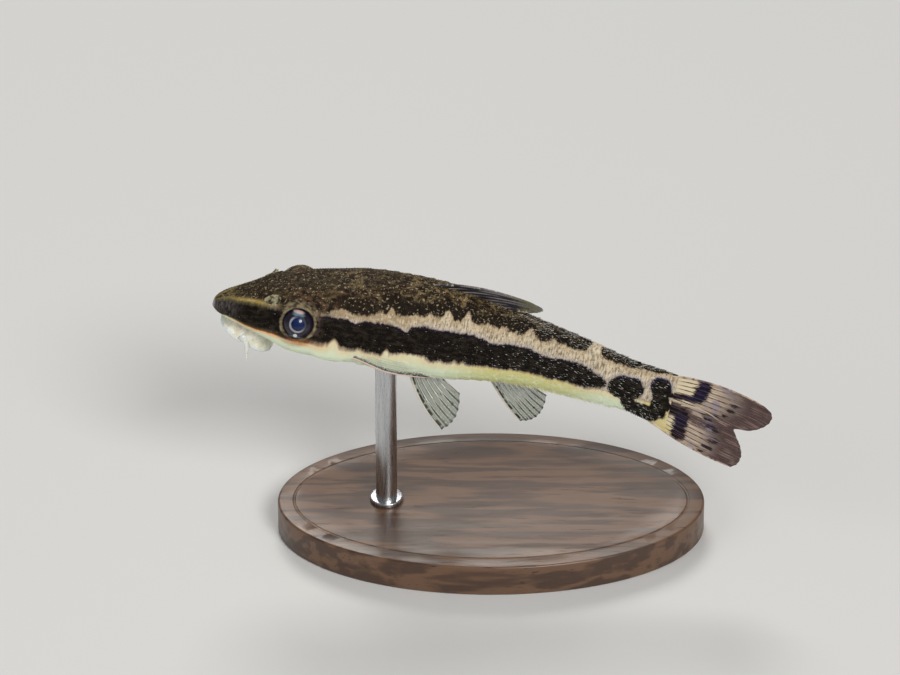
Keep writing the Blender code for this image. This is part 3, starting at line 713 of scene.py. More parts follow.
skinColours = {
    "bellyCream": (0.71, 0.67, 0.44),
    "bellyMint": (0.70, 0.78, 0.58),
    "bellyYellow": (0.60, 0.58, 0.20),
    "bellyWhite": (0.78, 0.80, 0.66),
    "bellyRear": (0.64, 0.55, 0.28),
    "peach": (0.82, 0.42, 0.18),
    "burnt": (0.16, 0.038, 0.010),
    "cream": (0.66, 0.56, 0.40),
    "tan": (0.20, 0.155, 0.105),
    "straw": (0.48, 0.34, 0.18),
    "lavender": (0.45, 0.40, 0.43),
    "gold": (0.31, 0.215, 0.060),
    "goldPale": (0.50, 0.375, 0.155),
    "olive": (0.075, 0.066, 0.026),
    "backDark": (0.011, 0.007, 0.005),
    "backBrown": (0.040, 0.026, 0.014),
    "backRed": (0.110, 0.058, 0.036),
    "backNet": (0.165, 0.120, 0.060),
    "backFleck": (0.40, 0.33, 0.20),
    "backGold": (0.25, 0.165, 0.060),
    "headTop": (0.052, 0.036, 0.017),
    "stripe": (0.006, 0.0045, 0.003),
    "stripeBlue": (0.008, 0.006, 0.016),
    "blotchBlue": (0.012, 0.012, 0.050),
    "stripeBrown": (0.027, 0.020, 0.014),
    "snoutGrey": (0.085, 0.072, 0.068),
    "orbit": (0.24, 0.195, 0.115),
    "cheek": (0.075, 0.048, 0.040),
    "patch": (0.34, 0.31, 0.20),
    "patchDark": (0.055, 0.042, 0.020),
    "rim": (0.40, 0.37, 0.36),
    "plateTip": (0.72, 0.70, 0.64),
    "plateTan": (0.50, 0.42, 0.27),
}


# Stations between which a part of the pattern comes in, and for some a second pair where it goes again.
skinStretches = {
    "head": (9.2, 6.5),
    "unevenEdge": (9.5, 13.0),
    "behindLip": (1.1, 2.6),
    "raggedBand": (2.0, 7.5),
    "yellowBelly": (16.5, 21.5, 30.0, 26.0),
    "rearBelly": (32.6, 33.4),
    "dimBand": (17.0, 12.5),
    "oliveTip": (2.0, 1.1),
    "nearEye": (4.6, 5.6, 14.0, 11.5),
    "chain": (8.0, 9.6),
    "darkRear": (22.0, 26.5),
    "nearFin": (14.6, 16.2, 19.5, 18.0),
    "goldTip": (1.9, 1.1),
    "blueBlotch": (28.5, 30.5),
    "greySnout": (2.4, 0.5),
    "cheek": (7.05, 7.3, 8.1, 7.5),
    "tanPoints": (23.0, 20.0),
}


def skinMaterial(name, coat=False):
    # the markings of the fish: belly, burnt and peach fringe, pale band, mottled back and dark stripe
    r = Recipe(name, skinColours, Roughness=0.6, Specular_IOR_Level=0.03 if coat else 0.06)
    place, station = r.fishPlace(), r.attribute("station")
    hair = r.noise(r.scaled(place, (6.5, 1.7, 1.3), (0, -0.35, 0)), 1.0)
    streak = r.noise(r.scaled(place, (8.5, 2.6, 2.3), (0, -0.30, 0)), 1.0)
    long = r.noise(r.scaled(place, (1.7, 3.4, 3.4), (0, 0.15, 0)), 1.0, 4.0, 0.6)
    fleck = r.noise(place, 2.7, 4.0, 0.6)
    blotch = r.noise(place, 0.8)
    wide = r.noise(place, 0.33, 2.0)
    spots = r.noise(place, 5.5, 2.0)

    def within(key):
        ends = skinStretches[key]
        fade = r.step(station, *ends[:2])
        return fade * r.step(station, *ends[2:]) if len(ends) > 2 else fade

    # the edges of the marks, made uneven
    head, golden, aboveBand = within("head"), r.attribute("gold"), r.attribute("aboveBand")
    wobble = hair * 0.30 + fleck * 0.30
    lowWobble = wobble * (0.3 + within("unevenEdge") * 0.6)
    nearWobble = r.between(r.step(r.attribute("aboveLow"), 0.4, 0.8), lowWobble, wobble)
    stripeAt = r.attribute("inStripe") + nearWobble
    stripe = r.between(golden, r.step(stripeAt, -0.09, 0.09), r.step(stripeAt, -0.06, 0.24))
    lowAt = r.attribute("aboveLow") + lowWobble
    bandAt = aboveBand + (hair * 0.50 + fleck * 0.55) * within("raggedBand")

    # belly: cream under the stripe, mint lower down, yellower towards the rear
    belly = r.mix(r.step(lowAt, -0.22, -0.95), "bellyCream", "bellyMint")
    belly = r.mix(within("yellowBelly") * 0.75, belly, "bellyYellow")
    belly = r.mix(r.step(fleck, 0.0, 0.2) * 0.5, belly, "bellyWhite")
    belly = r.mix(within("rearBelly"), belly, "bellyRear")
    front = within("behindLip")
    warm = r.step(lowAt, -0.50, -0.20) * (0.14 + head * 0.80) * front
    belly = r.mix(warm * r.step(blotch, -0.30, 0.08), belly, "peach")
    line = r.step(lowAt, -0.19, -0.04) * (0.5 + head * 0.45)
    belly = r.mix(line * front, belly, "burnt")

    # pale band: fine streaks across it, straw above and lavender below, and gold on the snout
    band = r.mix(r.step(streak, -0.20, 0.12), "tan", "cream")
    band = r.mix(r.step(bandAt, -0.6, -0.1) * 0.45, band, "straw")
    band = r.mix(r.step(stripeAt, -0.34, -0.06) * 0.4, band, "lavender")
    band = r.mix(r.step(fleck, 0.08, 0.2) * 0.6, band, "bellyWhite")
    band = r.mix(r.step(spots, -0.08, -0.2) * 0.8, band, "tan")
    dim = within("dimBand") * r.step(long, -0.15, 0.15)
    band = r.mix(dim * 0.95, band, r.mix(0.5, "tan", "straw"))
    gold = r.mix(r.step(fleck, -0.05, 0.22), "gold", "goldPale")
    gold = r.mix(r.step(stripeAt, -0.22, 0.02), gold, "olive")
    gold = r.mix(within("oliveTip") * 0.5, gold, "olive")
    band = r.mix(golden * 0.97, band, gold)

    # back: brown with a broken net of olive lines, and a chain of dark blotches along the band
    ground = r.mix(r.step(long, -0.12, 0.10), "backDark", "backBrown")
    ground = r.mix(head * 0.7, ground, r.mix(r.step(fleck, -0.10, 0.12), "backDark", "headTop"))
    reddish = r.step(wide, -0.02, 0.12) * r.step(fleck, 0.0, 0.16)
    nearEye = within("nearEye") * r.step(aboveBand + blotch, 2.2, 0.9)
    reddish = r.calc("MAXIMUM", reddish, nearEye * r.step(fleck, -0.02, 0.12))
    ground = r.mix(reddish * 0.65, ground, "backRed")
    net = r.step(r.cellEdges(r.bent(r.scaled(place, (0.75, 1.0, 1.0)), 1.6, 0.6), 1.3), 0.17, 0.02)
    net = net * r.step(blotch + long * 0.9, -0.18, 0.12) * (0.95 - head * 0.75)
    net = net * r.step(fleck + hair * 0.6, -0.14, 0.06)
    ground = r.mix(net, ground, "backNet")
    chain = r.step(aboveBand + blotch * 2.6, 1.25, 0.75) * within("chain")
    ground = r.mix(chain * 0.9, ground, "backDark")
    ground = r.mix(within("darkRear") * 0.85, ground, "backDark")
    nearFin = within("nearFin") * r.step(aboveBand, 1.1, 1.6)
    ground = r.mix(nearFin * r.step(fleck, 0.05, 0.14), ground, "backGold")
    ground = r.mix(r.step(spots, 0.10, 0.20) * 0.8, ground, "backFleck")
    tipGold = within("goldTip") * r.step(fleck, -0.2, 0.1)
    ground = r.mix(tipGold * 0.4, ground, gold)

    # the dark stripe, with a blue edge, grey on the snout and brown on the cheek
    dark = r.mix(r.step(long, -0.06, 0.18), "stripe", "stripeBrown")
    blueEdge = r.step(stripeAt, 0.3, 0.05) * (0.8 - golden * 0.8) * r.step(lowAt, 0.5, 1.0)
    dark = r.mix(blueEdge, dark, r.mix(within("blueBlotch"), "stripeBlue", "blotchBlue"))
    dark = r.mix(within("greySnout") * r.step(hair, -0.16, 0.16), dark, "snoutGrey")
    cheek = r.step(lowAt, 0.15, 0.5) * r.step(fleck, -0.12, 0.06) * within("cheek")
    dark = r.mix(cheek * 0.85, dark, "cheek")

    # all of them together, then the orbit, the patch round the nostrils and the pale rim of the snout
    weak = 1.0 - r.attribute("bandStrength")
    colour = r.mix(r.step(lowAt, -0.08, 0.08), belly, r.mix(weak, band, ground))
    colour = r.mix(r.step(bandAt, -0.14, 0.14), colour, ground)
    colour = r.mix(stripe, colour, dark)
    orbit = r.mix(r.step(fleck + spots, -0.16, 0.12), r.mix(0.6, "orbit", "backBrown"), "orbit")
    inOrbit, inPatch = r.attribute("orbit"), r.attribute("patch")
    orbitAt = inOrbit + fleck * 1.4 * r.step(inOrbit, 0.0, 0.3)
    colour = r.mix(r.step(orbitAt, 0.1, 0.9), colour, orbit)
    patchAt = inPatch + fleck * 2.3 * r.step(inPatch, 0.0, 0.3)
    patch = r.mix(r.step(r.noise(place, 3.0), -0.12, 0.04), "patchDark", "patch")
    colour = r.mix(r.step(patchAt, 0.25, 0.65), colour, patch)
    colour = r.mix(r.attribute("rim") * 0.85, colour, "rim")
    if coat:
        # the pale tips of the bright odontodes: partly their own colour, partly painted sparkle of light on
        # them
        tip = r.attribute("tip") * r.attribute("bright")
        tan = r.step(aboveBand, 0.0, 0.2) * within("tanPoints")
        colour = r.mix(tip, colour, r.mix(tan, "plateTip", "plateTan"))
    else:
        grain = hair * 0.8 + r.noise(place, 9.0, 2.0)
        r.give("Normal", r.bump(grain, 0.00003, 0.6))
        r.give("Roughness", 0.6 + fleck * 0.3)
        r.give("Subsurface Weight", 0.08)
        r.give("Subsurface Radius", (1.0, 0.6, 0.35))
        r.give("Subsurface Scale", 0.0002)
    r.give("Base Color", colour)
    return r.material


# The odontodes: how they are spread, shaped and left out, and how many of them are bright.
coatLook = {
    "stations": (0.35, 34.2),
    "spacing": 0.175,
    "jitter": 0.28,
    "seed": 7,
    "length": 0.13,
    "width": 0.028,
    "brightWidth": 1.25,
    "tilt": math.radians(24.0),
    "rootDepth": 0.03,
    "sizes": ((0, 0.8), (2, 0.7), (9, 0.75), (20, 0.9), (24, 1.25)),
    # bare round the eye, and where the skin faces down between two stations, behind that only a share
    "eyeMargin": 0.05,
    "mouthBare": (-0.7, 0.9, 5.2),
    "bellyThin": (-0.92, 5.0, 19.0),
    "bellyShare": 0.7,
    # bright ones gather in cells of this length and angle; their pale tips are partly their own colour and
    # partly painted sparkle
    "cells": (70, 16),
    "cellSize": (0.55, 12),
    "brightShare": 0.035,
    "brightRear": (0.20, 13, 26),
    "brightTail": (0.14, 30),
    # more bright ones over the top of the back: painted rim light along the outline there
    "crestDegrees": (58, 74),
    "crestShare": 0.30,
    "crestRear": (0.37, 20, 24),
    "backDimmed": 0.45,
    "dimmedEnd": 19,
    # a low fringe of longer points along the belly in front of the tail
    "fringe": (-0.72, 22.5, 30.5),
    "fringeLength": 1.7,
    "fringeTilt": 1.8,
}


def blend(values, low, high, share):
    return values[low] * (1 - share) + values[high] * share


def coatTable(points, fields, draw):
    # a row for each odontode: root, outward, backward and sideways directions, and the skin's fields there
    spacing = coatLook["spacing"]
    middleLine = points.mean(axis=1)[:, 0]
    count = points.shape[1]
    rows = []
    for number, station in enumerate(np.arange(*coatLook["stations"], spacing)):
        i = int(np.clip(np.searchsorted(middleLine, station) - 1, 1, len(points) - 3))
        t = (station - middleLine[i]) / max(middleLine[i + 1] - middleLine[i], 1e-6)
        ring = (1 - t) * points[i] + t * points[i + 1]
        along = points[i + 2] - points[i - 1]
        steps = np.linalg.norm(np.diff(np.concatenate([ring, ring[:1]]), axis=0), axis=1)
        lengths = np.concatenate([[0], np.cumsum(steps)])
        amount = max(int(lengths[-1] / spacing), 6)
        spots = np.arange(amount) + 0.5 * (number % 2) + coatLook["jitter"] * draw.uniform(-1, 1, amount)
        j = np.interp(spots % amount * lengths[-1] / amount, lengths, np.arange(count + 1))
        low = j.astype(int) % count
        high = (low + 1) % count
        share = (j - np.floor(j))[:, None]
        root = blend(ring, low, high, share)
        backward = unit(blend(along, low, high, share))
        sideways = unit(ring[high] - ring[low])
        outward = unit(np.cross(sideways, backward))
        outward *= np.sign((outward * (root - points[i].mean(axis=0))).sum(axis=1, keepdims=True))
        marks = [blend(values[i][:, None], low, high, share) for values in fields.values()]
        rows.append(np.hstack([root, outward, backward, sideways, *marks]))
    return np.concatenate(rows)


def facesDown(table, upward, low, start, end):
    return (upward < low) & (table[:, 0] > start) & (table[:, 0] < end)


def makeCoat(points, fields, material):
    # the odontodes: short points that lean back over the plates, in rings along the whole fish
    look = coatLook
    draw = np.random.default_rng(look["seed"])
    table = coatTable(points, fields, draw)
    upward = table[:, 12 + list(fields).index("upward")]
    keep = ~facesDown(table, upward, *look["mouthBare"])
    keep &= ~(facesDown(table, upward, *look["bellyThin"]) & (draw.random(len(table)) < look["bellyShare"]))
    for side in (-1, 1):
        middle, axis = eyeFrame(side)[:2]
        away = table[:, :3] - middle
        radius = np.linalg.norm(away - (away @ axis)[:, None] * axis, axis=1)
        keep &= ~((radius < eyeLook["crestRadius"] + look["eyeMargin"]) & (np.sign(table[:, 1]) == side))
    table = table[keep]
    roots, normals, backs, sides = np.split(table[:, :12], 4, axis=1)
    marks = dict(zip(fields, table[:, 12:].T))
    station, amount = roots[:, 0], len(roots)
    upright = np.degrees(np.arcsin(np.clip(marks["upward"], -1, 1)))
    cellLength, cellDegrees = look["cellSize"]
    clusters = draw.uniform(0.2, 1.8, look["cells"])
    clusters = clusters[(station / cellLength).astype(int), ((upright + 90) / cellDegrees).astype(int)]
    crest = smoothStep(upright, *look["crestDegrees"])
    (rearShare, *rear), (tailShare, tailStart), (crestShare, *crestRear) = (
        look[key] for key in ("brightRear", "brightTail", "crestRear"))
    chance = look["brightShare"] + rearShare * smoothStep(station, *rear) + tailShare * (station > tailStart)
    # more bright ones over the top of the back, as painted rim light along the outline
    chance += (look["crestShare"] + crestShare * smoothStep(station, *crestRear)) * crest
    isBright = draw.random(amount) < chance * clusters
    onBack = (marks["aboveBand"] > 0) & (station < look["dimmedEnd"])
    dimmed = np.where(onBack, look["backDimmed"] + (1 - look["backDimmed"]) * crest, 1.0)
    bright = draw.uniform(0.3, 1.0, amount) ** 1.5 * dimmed
    bright = np.where(isBright, bright, 0.10 * draw.random(amount))
    size = draw.uniform(0.7, 1.3, amount) * np.interp(station, *zip(*look["sizes"]))
    length = look["length"] * size
    width = (look["width"] * size * np.where(isBright, look["brightWidth"], 1.0))[:, None]
    tilt = look["tilt"] * draw.uniform(0.6, 1.5, amount)
    fringe = facesDown(roots, marks["upward"], *look["fringe"])
    length = np.where(fringe, look["fringeLength"] * length, length)
    tilt = np.where(fringe, look["fringeTilt"] * tilt, tilt)
    tips = roots + (length * np.cos(tilt))[:, None] * backs + (length * np.sin(tilt))[:, None] * normals
    base = roots - look["rootDepth"] * normals
    corners = [base + width * sides, base - width * sides, base - width * 0.8 * backs + width * normals, tips]
    corner = np.array([0, 1, 2, 1, 0, 3, 2, 1, 3, 0, 2, 3])
    faces = (4 * np.arange(amount)[:, None] + corner).reshape(-1, 3)
    attributes = {name: np.repeat(values, 4) for name, values in marks.items()}
    attributes["tip"] = np.tile([0.35, 0.35, 0.6, 1.0], amount)
    attributes["bright"] = np.repeat(bright, 4)
    points = np.stack(corners, axis=1).reshape(-1, 3)
    piece = newPiece("odontodes", points, faces.tolist(), attributes, smooth=False)
    # the map for baking: a small patch for each point, by its station and its way round the fish
    around = np.degrees(np.arctan2(roots[:, 2] - 1.0, roots[:, 1])) / 360 + 0.5
    patch = np.array([(0, 0), (0.003, 0), (0.0015, 0.0015), (0.0015, 0.003)])
    at = np.stack([0.02 + 0.95 * station / 36, 0.02 + 0.95 * around], axis=1)
    addBakeMap(piece, (at[:, None, :] + patch[None]).reshape(-1, 2))
    finishPiece(piece, material, "dark_back")
    print("coat built,", 4 * amount, "faces")


def buildSkin():
    points, fields = makeSkin()
    ends = np.array([points[0].mean(axis=0) - [0.01, 0, 0], points[-1].mean(axis=0) + [0.05, 0, 0]])
    marks = {name: np.append(grid.ravel(), [grid[0, 0], grid[-1, 0]]) for name, grid in fields.items()}
    parts = [(np.concatenate([points.reshape(-1, 3), ends]), cappedFaces(*points.shape[:2]), marks)]
    for side in (-1, 1):
        leaf, leafFaces = nostrilFlap(side)
        none = np.zeros(len(leaf))
        marks = bodyMarks(leaf[:, 0], none + nostril["angle"], leaf[:, 2])
        marks.update(orbit=none, patch=none + 1, rim=none)
        parts.append((leaf, leafFaces, marks))
    skin = newPiece("fish_skin", *joined(parts))
    finishPiece(skin, skinMaterial("Plated skin"), "dark_back", "head", "torso", "tail")
    makeCoat(points, fields, skinMaterial("Plate points", coat=True))
    print("skin built,", len(skin.data.polygons), "faces")


eyeColours = {
    "pupil": (0.0015, 0.003, 0.022),
    # a painted bluish glow of reflected light in the pupil
    "pupilGlow": (0.003, 0.014, 0.080),
    "ring": (0.27, 0.28, 0.33),
    "ringDim": (0.035, 0.045, 0.075),
    "iris": (0.011, 0.007, 0.014),
    "irisEdge": (0.006, 0.006, 0.022),
    "irisFleck": (0.045, 0.026, 0.032),
    # painted reflections: the sheen over the top of the iris, and the pale blue under it and along its lower
    # edge
    "sheen": (0.66, 0.48, 0.45),
    "sheenBlue": (0.14, 0.24, 0.30),
    # a painted white reflection below the pupil
    "reflectionSpot": (0.60, 0.68, 0.66),
}


def eyeMaterial():
    r = Recipe("Wet eye", eyeColours, Roughness=0.4, Specular_IOR_Level=0.1,
               Coat_Weight=1.0, Coat_Roughness=0.03, Coat_IOR=1.4)
    place = r.fishPlace()
    radius, up, across = r.attribute("gazeRadius"), r.attribute("gazeUp"), r.attribute("gazeAcross")
    fine = r.noise(place, 6.0, 3.0)
    edge = radius + fine * 0.07

    def patchAt(acrossPlace, upPlace, wide, high, soft=0.5):
        # 1 in an oval patch, fading out at its edge
        first = (1 / wide * (across - acrossPlace)) ** 2.0
        second = (1 / high * (up - upPlace)) ** 2.0
        return r.step(first + second + fine * 0.8, 1 + soft, 1 - soft)

    # a painted bluish glow of reflected light in the pupil, a little above and behind its middle
    pupil = r.mix(patchAt(0.06, 0.12, 0.42, 0.40, 0.9), "pupil", "pupilGlow")
    iris = r.mix(r.step(fine, 0.0, 0.25), "iris", "irisFleck")
    iris = r.mix(r.step(edge, 0.85, 1.05), iris, "irisEdge")
    # painted reflections: a pale blue band and a pink-white sheen over the top of the iris, and a pale blue
    # crescent along its lower edge
    iris = r.mix(patchAt(-0.10, 0.70, 0.42, 0.16, 0.8) * 0.85, iris, "sheenBlue")
    iris = r.mix(patchAt(-0.12, 0.88, 0.38, 0.12, 0.9) * 0.9, iris, "sheen")
    iris = r.mix(patchAt(0.02, -1.0, 0.6, 0.08) * 0.55, iris, "sheenBlue")
    # a painted white reflection below the pupil
    iris = r.mix(patchAt(0.0, -0.90, 0.15, 0.15), iris, "reflectionSpot")
    ring = r.mix(r.step(0.0 - (up + across), -0.5, 0.3), "ringDim", "ring")
    colour = r.mix(r.step(edge, eyeLook["ringRadius"] - 0.05, eyeLook["ringRadius"] + 0.03), ring, iris)
    colour = r.mix(r.step(edge, eyeLook["pupilRadius"] - 0.03, eyeLook["pupilRadius"] + 0.03), pupil, colour)
    r.give("Base Color", colour)
    return r.material


def buildEye(side, word, material):
    # a ball whose front bulges a little as the cornea does, with each point's place in its gaze
    look = eyeLook
    middle, axis, up, across = eyeFrame(side)
    centre = middle - look["ballDepth"] * axis
    rows, columns = look["ballGrid"]
    backward = math.copysign(1, across[0])
    points, gaze = [], []
    for angle in math.pi * (np.arange(1, rows) / rows) ** 1.15:
        out = look["ballRadius"] * math.sin(angle)
        bulge = look["corneaRise"] * bell(out, look["corneaWidth"]) * (angle < 1.6)
        front = centre + (look["ballRadius"] * math.cos(angle) + bulge) * axis
        for turn in 2 * math.pi * np.arange(columns) / columns:
            acrossPart, upPart = out * math.cos(turn), out * math.sin(turn)
            points.append(front + acrossPart * across + upPart * up)
            gaze.append((out if angle < math.pi / 2 else 2.0, upPart, acrossPart * backward))
    points += [centre + (look["ballRadius"] + look["corneaRise"]) * axis, centre - look["ballRadius"] * axis]
    gaze += [(0.0, 0.0, 0.0), (2.0, 0.0, 0.0)]
    fields = dict(zip(("gazeRadius", "gazeUp", "gazeAcross"), np.array(gaze).T))
    piece = newPiece("eyeball_" + word, points, cappedFaces(rows - 1, columns), fields)
    finishPiece(piece, material, "eye", "eye_" + word)


# The sucker mouth, a cup turned about its own axis: radius and height down the outside and up the inside.
mouthLook = {
    "place": (2.85, 0.0, -1.97),
    "tilt": math.radians(22.0),
    "length": 1.13,
    "width": 0.98,
    "profile": (
        (1.20, 2.4), (1.35, 2.0), (1.50, 1.4), (1.62, 0.95), (1.80, 0.52), (1.93, 0.26), (1.95, 0.10),
        (1.84, 0.0), (1.62, 0.04), (1.36, 0.13), (1.08, 0.24), (0.80, 0.34), (0.52, 0.50), (0.34, 0.85),
        (0.15, 1.2),
    ),
    "grid": (74, 168),
    # the lips: their place along the profile and width, and their ruffles as height, count and start
    "lip": (0.46, 0.2),
    "ruffles": ((0.016, 7, 1.0), (0.010, 17, 2.0), (0.008, 31, 0.0)),
    # papillae: where they fade along the profile, their rows there, spacing, height and width
    "papillaFade": (0.38, 0.46, 0.86, 0.93),
    "papillaRows": (0.40, 0.92, 0.035),
    "papillaSpacing": 0.19,
    "papillaHeight": 0.028,
    "papillaWidth": 0.075,
    "barbelRoot": (2.45, -1.72, -1.25),
    "barbelTip": (3.18, -2.13, -2.88),
    "barbelRadii": (0.24, 0.095),
    "barbelGrid": (18, 12),
    "seed": 11,
}


mouthColours = {
    "cream": (0.68, 0.63, 0.48),
    "pale": (0.84, 0.83, 0.75),
    "pink": (0.62, 0.50, 0.50),
    "green": (0.70, 0.73, 0.58),
    "tan": (0.40, 0.33, 0.23),
    "tanPale": (0.62, 0.50, 0.42),
    # painted rim light: the bluish-white of the lip's margin
    "blueEdge": (0.70, 0.78, 0.82),
    "throat": (0.48, 0.22, 0.18),
    "pit": (0.36, 0.31, 0.22),
    "grain": (0.42, 0.37, 0.26),
    "papilla": (0.86, 0.86, 0.80),
}


def mouthMaterial():
    r = Recipe("Pale lip", mouthColours, Roughness=0.38, Coat_Weight=0.3, Coat_Roughness=0.15,
               Subsurface_Weight=0.12)
    r.give("Subsurface Radius", (1.0, 0.7, 0.5))
    r.give("Subsurface Scale", 0.0005)
    place = r.fishPlace()
    soft = r.noise(place, 1.3, 3.0)
    fine = r.noise(place, 5.0, 3.0)
    colour = r.mix(r.step(soft, -0.12, 0.12), "cream", "pale")
    colour = r.mix(r.step(r.noise(place, 0.9, 2.0), 0.04, 0.2) * 0.35, colour, "pink")
    colour = r.mix(r.attribute("rear") * 0.4, colour, "green")
    tan = r.mix(r.step(soft, -0.1, 0.1), "tan", "tanPale")
    inFront = r.attribute("top") * r.step(r.attribute("rear"), 0.7, 0.1)
    colour = r.mix(inFront * 0.7, colour, tan)
    # a painted bluish-white rim light along the lip's margin; on the barbels it is partly their own pale
    # colour
    colour = r.mix(r.attribute("edge") * 0.75, colour, "blueEdge")
    colour = r.mix(r.attribute("inner") * 0.75, colour, "throat")
    colour = r.mix(r.step(fine, -0.12, -0.24) * 0.7, colour, "pit")
    grain = r.noise(place, 11.0, 2.0)
    colour = r.mix(r.step(grain, -0.08, -0.20) * 0.7, colour, "grain")
    colour = r.mix(r.step(fine, 0.08, 0.26), colour, "papilla")
    r.give("Base Color", colour)
    r.give("Normal", r.bump(fine, 0.00008, 0.7))
    return r.material


def tube(path, radii, sides, frameUp):
    # a closed tube along a path, as points and faces
    path = np.asarray(path, float)
    along = unit(np.gradient(path, axis=0))
    first = np.cross(along, np.asarray(frameUp, float))
    first /= np.maximum(np.linalg.norm(first, axis=1)[:, None], 1e-9)
    second = np.cross(first, along)
    turns = 2 * np.pi * np.arange(sides) / sides
    around = np.cos(turns)[None, :, None] * first[:, None] + np.sin(turns)[None, :, None] * second[:, None]
    points = path[:, None] + np.asarray(radii, float)[:, None, None] * around
    points = np.concatenate([points.reshape(-1, 3), path[:1], path[-1:] + 0.3 * radii[-1] * along[-1:]])
    return points, cappedFaces(len(path), sides)


def addPapillae(points, share, radii, upward):
    # low round bumps over the lips, in rows round the mouth
    look = mouthLook
    draw = np.random.default_rng(look["seed"])
    rows, around = look["grid"]
    seeds = []
    for place in np.arange(*look["papillaRows"]):
        amount = max(int(2 * math.pi * radii(place) / look["papillaSpacing"]), 6)
        for k in range(amount):
            turn = 2 * math.pi * (k + 0.5 * draw.random()) / amount + draw.random() * 0.1
            seeds.append((place, turn))
    places, turns = np.array(seeds).T
    row = np.interp(places, share, np.arange(rows)).round().astype(int)
    column = (turns / (2 * np.pi) * around).round().astype(int) % around
    nearest = np.full((rows, around), 9.0)
    for centre in points[row, column]:
        nearest = np.minimum(nearest, np.linalg.norm(points - centre, axis=-1))
    bump = look["papillaHeight"] * bell(nearest, look["papillaWidth"])
    bump *= plateau(share, *look["papillaFade"])[:, None]
    return points - bump[..., None] * (upward * 0.8)


def buildMouth():
    look = mouthLook
    rows, around = look["grid"]
    columns = range(len(look["profile"]))
    radiusAt, heightAt = (curveThrough(columns, values) for values in zip(*look["profile"]))
    steps = np.linspace(0, columns[-1], rows)
    share = steps / steps[-1]
    turns = 2 * np.pi * np.arange(around) / around
    fromBack = np.degrees(np.arccos(np.cos(turns)))
    corner = bell(fromBack - 90, 9)
    lowerLip = 1 - smoothStep(fromBack, 62, 96)
    upperLip = smoothStep(fromBack, 96, 130)
    lipPlace, lipWidth = look["lip"]
    lip = bell(share - lipPlace, lipWidth)[:, None]
    ruffle = sum(size * np.sin(count * turns + start) for size, count, start in look["ruffles"])
    radius = radiusAt(steps)[:, None] * (1 + lip * (0.03 * lowerLip - 0.10 * corner)) + lip * ruffle
    height = heightAt(steps)[:, None] + lip * (0.16 * corner - 0.10 * upperLip)
    cosine, sine = math.cos(look["tilt"]), math.sin(look["tilt"])
    upward = np.array([sine, 0.0, cosine])
    lengthwise, sideways = look["length"] * radius * np.cos(turns), look["width"] * radius * np.sin(turns)
    points = np.array(look["place"]) + lengthwise[..., None] * [cosine, 0.0, -sine]
    points = points + sideways[..., None] * [0.0, 1.0, 0.0] + height[..., None] * upward
    points = addPapillae(points, share, lambda place: float(radiusAt(place * steps[-1])), upward)
    # each field over the cup, and its values at the two end points
    whole = np.ones((rows, around))
    marks = {
        "inner": np.append(smoothStep(share, 0.86, 1.0)[:, None] * whole, (0, 1)),
        "rear": np.append(lowerLip * whole, (0, 0)),
        # edge: where the painted bluish-white rim light lies along the lip's margin
        "edge": np.append(bell(share - 0.43, 0.07)[:, None] * whole, (0, 0)),
        "top": np.append((1 - smoothStep(share, 0.10, 0.34))[:, None] * whole, (1, 0)),
    }
    cup = np.concatenate([points.reshape(-1, 3), points[:1].mean(axis=1), points[-1:].mean(axis=1)])
    parts = [(cup, cappedFaces(rows, around), marks)]
    count, sides = look["barbelGrid"]
    wide, thin = look["barbelRadii"]
    shares = np.linspace(0, 1, count)[:, None]
    for side in (-1, 1):
        root, tip = (mirrored(look[key], side) for key in ("barbelRoot", "barbelTip"))
        bow = np.sin(np.pi * shares) * [0.14, 0.0, 0.0]
        path = root + shares * (tip - root) + bow + 0.05 * np.sin(5 * shares)
        barbel, barbelFaces = tube(path, thin + wide * (1 - shares[:, 0]) ** 1.9, sides, (1, 0, 0.3))
        none = np.zeros(len(barbel))
        # the barbels get the same bluish-white at 0.6 all along, partly their own pale colour and partly
        # painted rim light
        parts.append((barbel, barbelFaces, {"inner": none, "rear": none, "edge": none + 0.6, "top": none}))
    piece = newPiece("sucker_mouth", *joined(parts))
    finishPiece(piece, mouthMaterial(), "pale_lip", "mouth")
    print("mouth built")


